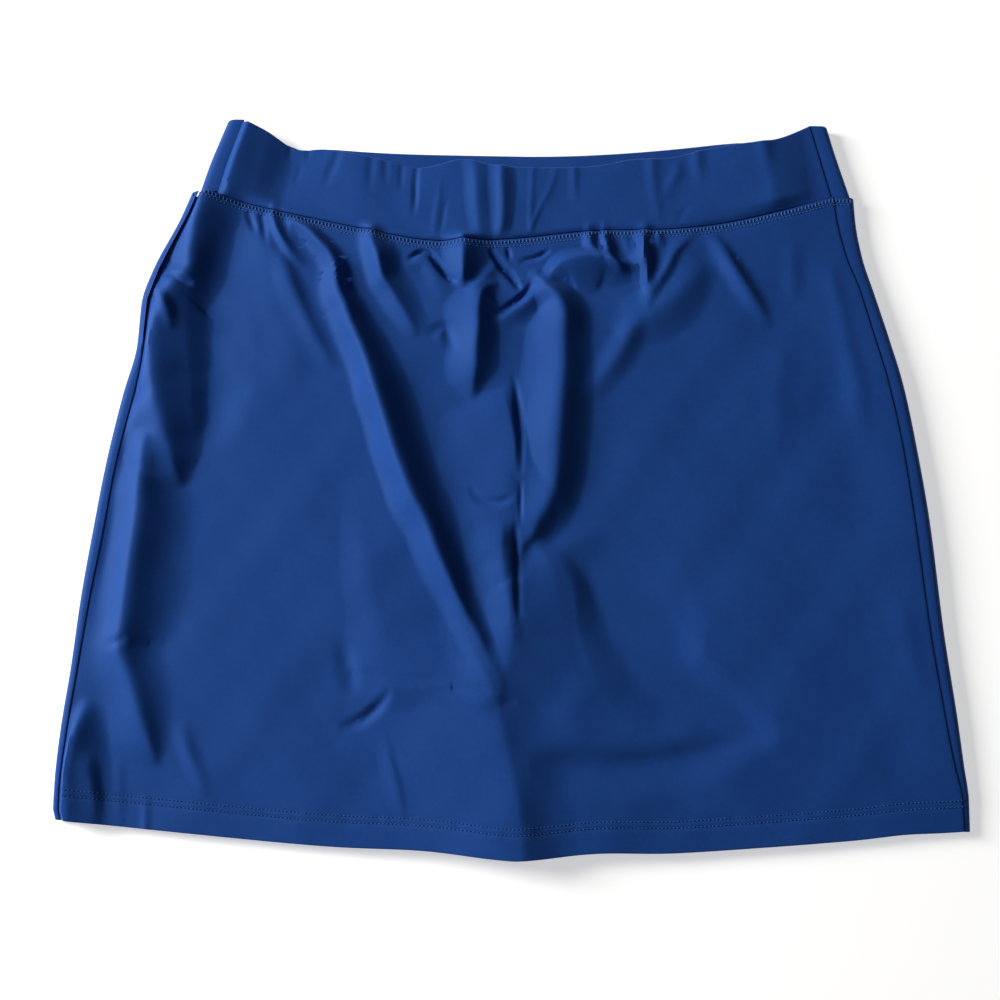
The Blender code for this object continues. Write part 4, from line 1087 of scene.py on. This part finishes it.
def threads_between(begins, ends, thread):
    """Threads from each begin to each end, arching over the cloth, and their radius."""
    t = np.linspace(thread.start, thread.end, THREAD_STEPS)[:, None]
    xy = begins[:, None] + (ends - begins)[:, None] * t
    sides = (LEFT_SKIRT, RIGHT_SKIRT)
    z = top_height(xy[..., 0], xy[..., 1], sides, SKIRT_FOLDS)
    z = z + thread.low + thread.arch * np.sin(np.pi * np.linspace(0.0, 1.0, THREAD_STEPS))
    return np.dstack([xy[..., 0], xy[..., 1], z]), thread.radius


def waist_stitches():
    """The coverstitch under the waist seam: upright loops, their links and a row of short dashes."""
    ends = (FRONT_WAIST.left_y, FRONT_WAIST.right_y)
    rows = [evenly(FRONT_WAIST, -drop, *ends) for drop in WAIST_ROWS]
    count = min(len(row) for row in rows)
    upper, middle, lower = (row[:count] for row in rows)
    return [
        threads_between(upper, middle, WAIST_LOOP),
        threads_between(middle[:-1], middle[1:], WAIST_LINK),
        threads_between(lower[:-1], lower[1:], WAIST_DASH),
    ]


def hem_stitches(thread):
    """Two rows of plain needle stitches along the hem, or short dark marks between them that are painted
    shade for the needle holes.
    """
    rows = [evenly(FRONT_HEM, rise, HEM_END_Y, HEM_END_Y) for rise in HEM_ROWS]
    return [threads_between(row[:-1], row[1:], thread) for row in rows]


class Nodes:
    """A material's node tree, with short calls that add and join its nodes."""

    def __init__(self, name):
        self.material = bpy.data.materials.new(name)
        self.material.use_nodes = True
        self.tree = self.material.node_tree
        self.shader = self.tree.nodes["Principled BSDF"]
        self.place = self.add("ShaderNodeTexCoord").outputs["Object"]

    def feed(self, socket, value):
        """Links another node's output to a socket, or sets the socket to a constant."""
        if isinstance(value, bpy.types.NodeSocket):
            self.tree.links.new(value, socket)
        else:
            socket.default_value = value

    def add(self, kind, **inputs):
        made = self.tree.nodes.new(kind)
        for key, value in inputs.items():
            self.feed(made.inputs[key.replace("_", " ")], value)
        return made

    def noise(self, scale, **inputs):
        return self.add("ShaderNodeTexNoise", Vector=self.place, Scale=scale, **inputs).outputs["Fac"]

    def math(self, operation, first, second=0.0):
        made = self.tree.nodes.new("ShaderNodeMath")
        made.operation = operation
        for socket, value in zip(made.inputs, (first, second)):
            self.feed(socket, value)
        return made.outputs[0]

    def total(self, *parts):
        """The sum of outputs, each times its weight."""
        weighted = [self.math("MULTIPLY", output, weight) for output, weight in parts]
        result = weighted[0]
        for part in weighted[1:]:
            result = self.math("ADD", result, part)
        return result

    def link(self, output, key):
        self.tree.links.new(output, self.shader.inputs[key])

    def colour(self, fac, dark, light, low=0.0, high=1.0):
        """Colours the shader from dark, at a low factor, to light, at a high one."""
        ramp = self.add("ShaderNodeValToRGB", Fac=fac)
        for element, position, colour in zip(ramp.color_ramp.elements, (low, high), (dark, light)):
            element.position = position
            element.color = (*colour, 1.0)
        self.link(ramp.outputs["Color"], "Base Color")

    def bump(self, height, strength, distance):
        made = self.add("ShaderNodeBump", Strength=strength, Distance=distance, Height=height)
        self.link(made.outputs["Normal"], "Normal")


def knit_material(name, dark, light, wale=0.46, course=0.40, sheen=0.10):
    """A fine smooth knit: rows of small stitches in relief, a soft grain, and a low sheen."""
    nodes = Nodes(name)
    parts = nodes.add("ShaderNodeSeparateXYZ", Vector=nodes.place)
    across = nodes.math("MULTIPLY", parts.outputs["X"], 2.0 * np.pi / (wale * MM))
    down = nodes.math("MULTIPLY", parts.outputs["Y"], 2.0 * np.pi / (course * MM))
    slant = nodes.math("MULTIPLY", nodes.math("ABSOLUTE", nodes.math("SINE", across)), 1.4)
    loops = nodes.math("SINE", nodes.math("ADD", down, slant))
    columns = nodes.math("COSINE", nodes.math("MULTIPLY", across, 2.0))
    relief = nodes.total((loops, 0.35), (columns, 0.4))
    grain = nodes.noise(1500.0, Detail=3.0, Roughness=0.6)
    tone = nodes.noise(26.0, Detail=4.0, Roughness=0.55)
    mottle = nodes.noise(420.0, Detail=2.0, Roughness=0.5)
    height = nodes.total((relief, 0.35), (nodes.math("ADD", grain, mottle), 1.3))
    shade = nodes.total((tone, 0.45), (mottle, 0.40), (grain, 0.30))
    nodes.colour(shade, dark, light, 0.36, 0.80)
    nodes.link(nodes.math("ADD", nodes.math("MULTIPLY", mottle, 0.14), 0.50), "Roughness")
    nodes.bump(height, 0.32, 0.00012)
    nodes.shader.inputs["Sheen Weight"].default_value = sheen
    nodes.shader.inputs["Sheen Roughness"].default_value = 0.45
    nodes.shader.inputs["Sheen Tint"].default_value = SHEEN_BLUE
    nodes.shader.inputs["Specular IOR Level"].default_value = 0.16
    nodes.shader.inputs["Specular Tint"].default_value = GLOSS_BLUE
    return nodes.material


def thread_material(name, colour):
    """Spun thread: fine twisted ridges with a soft gloss."""
    nodes = Nodes(name)
    twist = nodes.add("ShaderNodeTexWave", Vector=nodes.place, Scale=1500.0, Distortion=2.0)
    nodes.colour(nodes.noise(900.0, Detail=2.0), [c * 0.7 for c in colour], [c * 1.3 for c in colour])
    nodes.bump(twist.outputs["Fac"], 0.4, 0.00006)
    nodes.shader.inputs["Roughness"].default_value = 0.55
    nodes.shader.inputs["Specular IOR Level"].default_value = 0.15
    nodes.shader.inputs["Specular Tint"].default_value = GLOSS_BLUE
    return nodes.material


def floor_material():
    """A pale matte surface with a very slight mottle, lit evenly as a photo studio's sweep is."""
    nodes = Nodes("pale_floor")
    nodes.colour(nodes.noise(9.0, Detail=3.0), [c * 0.985 for c in FLOOR_WHITE], FLOOR_WHITE)
    nodes.shader.inputs["Roughness"].default_value = 0.9
    nodes.shader.inputs["Specular IOR Level"].default_value = 0.1
    nodes.shader.inputs["Emission Color"].default_value = FLOOR_GLOW
    nodes.shader.inputs["Emission Strength"].default_value = 0.55
    return nodes.material


def dress(piece, node):
    """Attaches a shell to the root and hides the solid that it lies on."""
    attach(piece, "root")
    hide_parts(node)


def make_stitching(name, rows, material):
    """The threads of one line of stitching, as rows of them with their radius, in one piece."""
    form = bmesh.new()
    for threads, radius in rows:
        mesh = thread_mesh(name, threads, radius)
        form.from_mesh(mesh)
        bpy.data.meshes.remove(mesh)
    mesh = bpy.data.meshes.new(name)
    form.to_mesh(mesh)
    form.free()
    piece = add_piece(name, mesh, material)
    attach(piece, "root")
    return piece


def make_garment():
    knit = knit_material("blue_knit", KNIT_BLUE, KNIT_LIGHT)
    plain = knit_material("shorts_knit", SHORTS_BLUE, KNIT_BLUE, sheen=0.06)
    thread = thread_material("blue_thread", THREAD_BLUE)
    # A dark thread whose colour is painted shade for the hem's needle holes.
    hole_shade_thread = thread_material("painted_hole_shade", HOLE_SHADE_BLUE)
    gap = SEAM_ROUND + VISIBLE_GAP / 2.0
    left_gap = BAND_LEFT_ROUND + VISIBLE_GAP / 2.0
    waist_gap = WAIST_ROUND + VISIBLE_GAP / 2.0
    skirt_gaps = (waist_gap, HEM_ROUND, gap, gap)
    band_gaps = (BAND_ROUND, waist_gap, left_gap, gap)
    band, skirt = (LEFT_BAND, RIGHT_BAND), (LEFT_SKIRT, RIGHT_SKIRT)
    waist = make_stitching("waist_coverstitch", waist_stitches(), thread)
    hem = make_stitching("hem_stitching", hem_stitches(HEM_STITCH), thread)
    # The hem's needle holes as short dark threads: painted shade, not real thread.
    hole_shade_marks = make_stitching("hem_painted_hole_shade", hem_stitches(HEM_HOLE_SHADE), hole_shade_thread)

    points = back_points(BACK_ROWS, BACK_WAIST, BACK_HEM, skirt, skirt_gaps)
    back = cloth_shell("skirt_back_cloth", points, SKIRT_WALL, knit, SKIRT_ROUNDS)
    dress(back, "skirt_back")

    points = back_points(BACK_BAND_ROWS, BACK_TOP, BACK_WAIST, band, band_gaps)
    back_band = cloth_shell("waistband_back_cloth", points, BAND_WALL, knit, BAND_BACK_ROUNDS)
    dress(back_band, "waistband_back")

    for node, toward in (("shorts_left", -1), ("shorts_right", 1)):
        leg = thick_tube(node + "_cloth", shorts_points(toward), SHORTS_WALL, plain)
        dress(leg, node)

    size = (SKIRT_COLUMNS, SKIRT_ROWS)
    points = front_points(*size, FRONT_WAIST, FRONT_HEM, skirt, SKIRT_FOLDS, skirt_gaps)
    front = cloth_shell("skirt_front_cloth", points, SKIRT_WALL, knit, SKIRT_ROUNDS)
    dress(front, "skirt_front")

    size = (BAND_COLUMNS, BAND_ROWS)
    points = front_points(*size, FRONT_TOP, FRONT_WAIST, band, BAND_FOLDS, band_gaps)
    front_band = cloth_shell("waistband_front_cloth", points, BAND_WALL, knit, BAND_FRONT_ROUNDS)
    dress(front_band, "waistband_front")


def make_floor():
    form = bmesh.new()
    bmesh.ops.create_grid(form, x_segments=8, y_segments=8, size=FLOOR_SIZE)
    mesh = bpy.data.meshes.new("floor")
    form.to_mesh(mesh)
    form.free()
    floor = add_piece("floor", mesh, floor_material())
    floor.location.z = FLOOR_Z


def add_light(light):
    turn, rise = np.radians(light.azimuth), np.radians(light.elevation)
    toward = mathutils.Vector(
        (np.cos(turn) * np.cos(rise), np.sin(turn) * np.cos(rise), np.sin(rise))
    )
    data = bpy.data.lights.new(light.name, "AREA")
    data.shape = "RECTANGLE"
    data.size, data.size_y = light.size
    data.energy = light.power
    data.color = light.colour
    lamp = add_object(light.name, data)
    lamp.location = toward * light.distance
    lamp.rotation_euler = toward.to_track_quat("Z", "Y").to_euler()


def make_lights():
    for light in LIGHTS:
        add_light(light)
    world = bpy.data.worlds.new("studio")
    world.use_nodes = True
    background = world.node_tree.nodes["Background"]
    background.inputs["Color"].default_value = STUDIO_COLOUR
    background.inputs["Strength"].default_value = STUDIO_STRENGTH
    bpy.context.scene.world = world


def make_camera():
    rise, roll = np.radians(CAMERA_ELEVATION), np.radians(CAMERA_ROLL)
    forward = np.array([0.0, np.cos(rise), -np.sin(rise)])
    level_up = np.array([0.0, np.sin(rise), np.cos(rise)])
    level_right = np.array([1.0, 0.0, 0.0])
    right = np.cos(roll) * level_right + np.sin(roll) * level_up
    up = np.cos(roll) * level_up - np.sin(roll) * level_right
    place = np.array(CAMERA_AIM) - forward * CAMERA_DISTANCE
    data = bpy.data.cameras.new("camera")
    data.lens = CAMERA_LENS
    data.sensor_width = CAMERA_SENSOR
    camera = add_object("camera", data)
    camera.matrix_world = mathutils.Matrix(
        [[right[i], up[i], -forward[i], place[i]] for i in range(3)] + [[0.0, 0.0, 0.0, 1.0]]
    )
    bpy.context.scene.camera = camera


make_camera()
make_garment()
make_floor()
make_lights()
bpy.context.scene.view_settings.view_transform = "Standard"
bpy.context.view_layer.update()
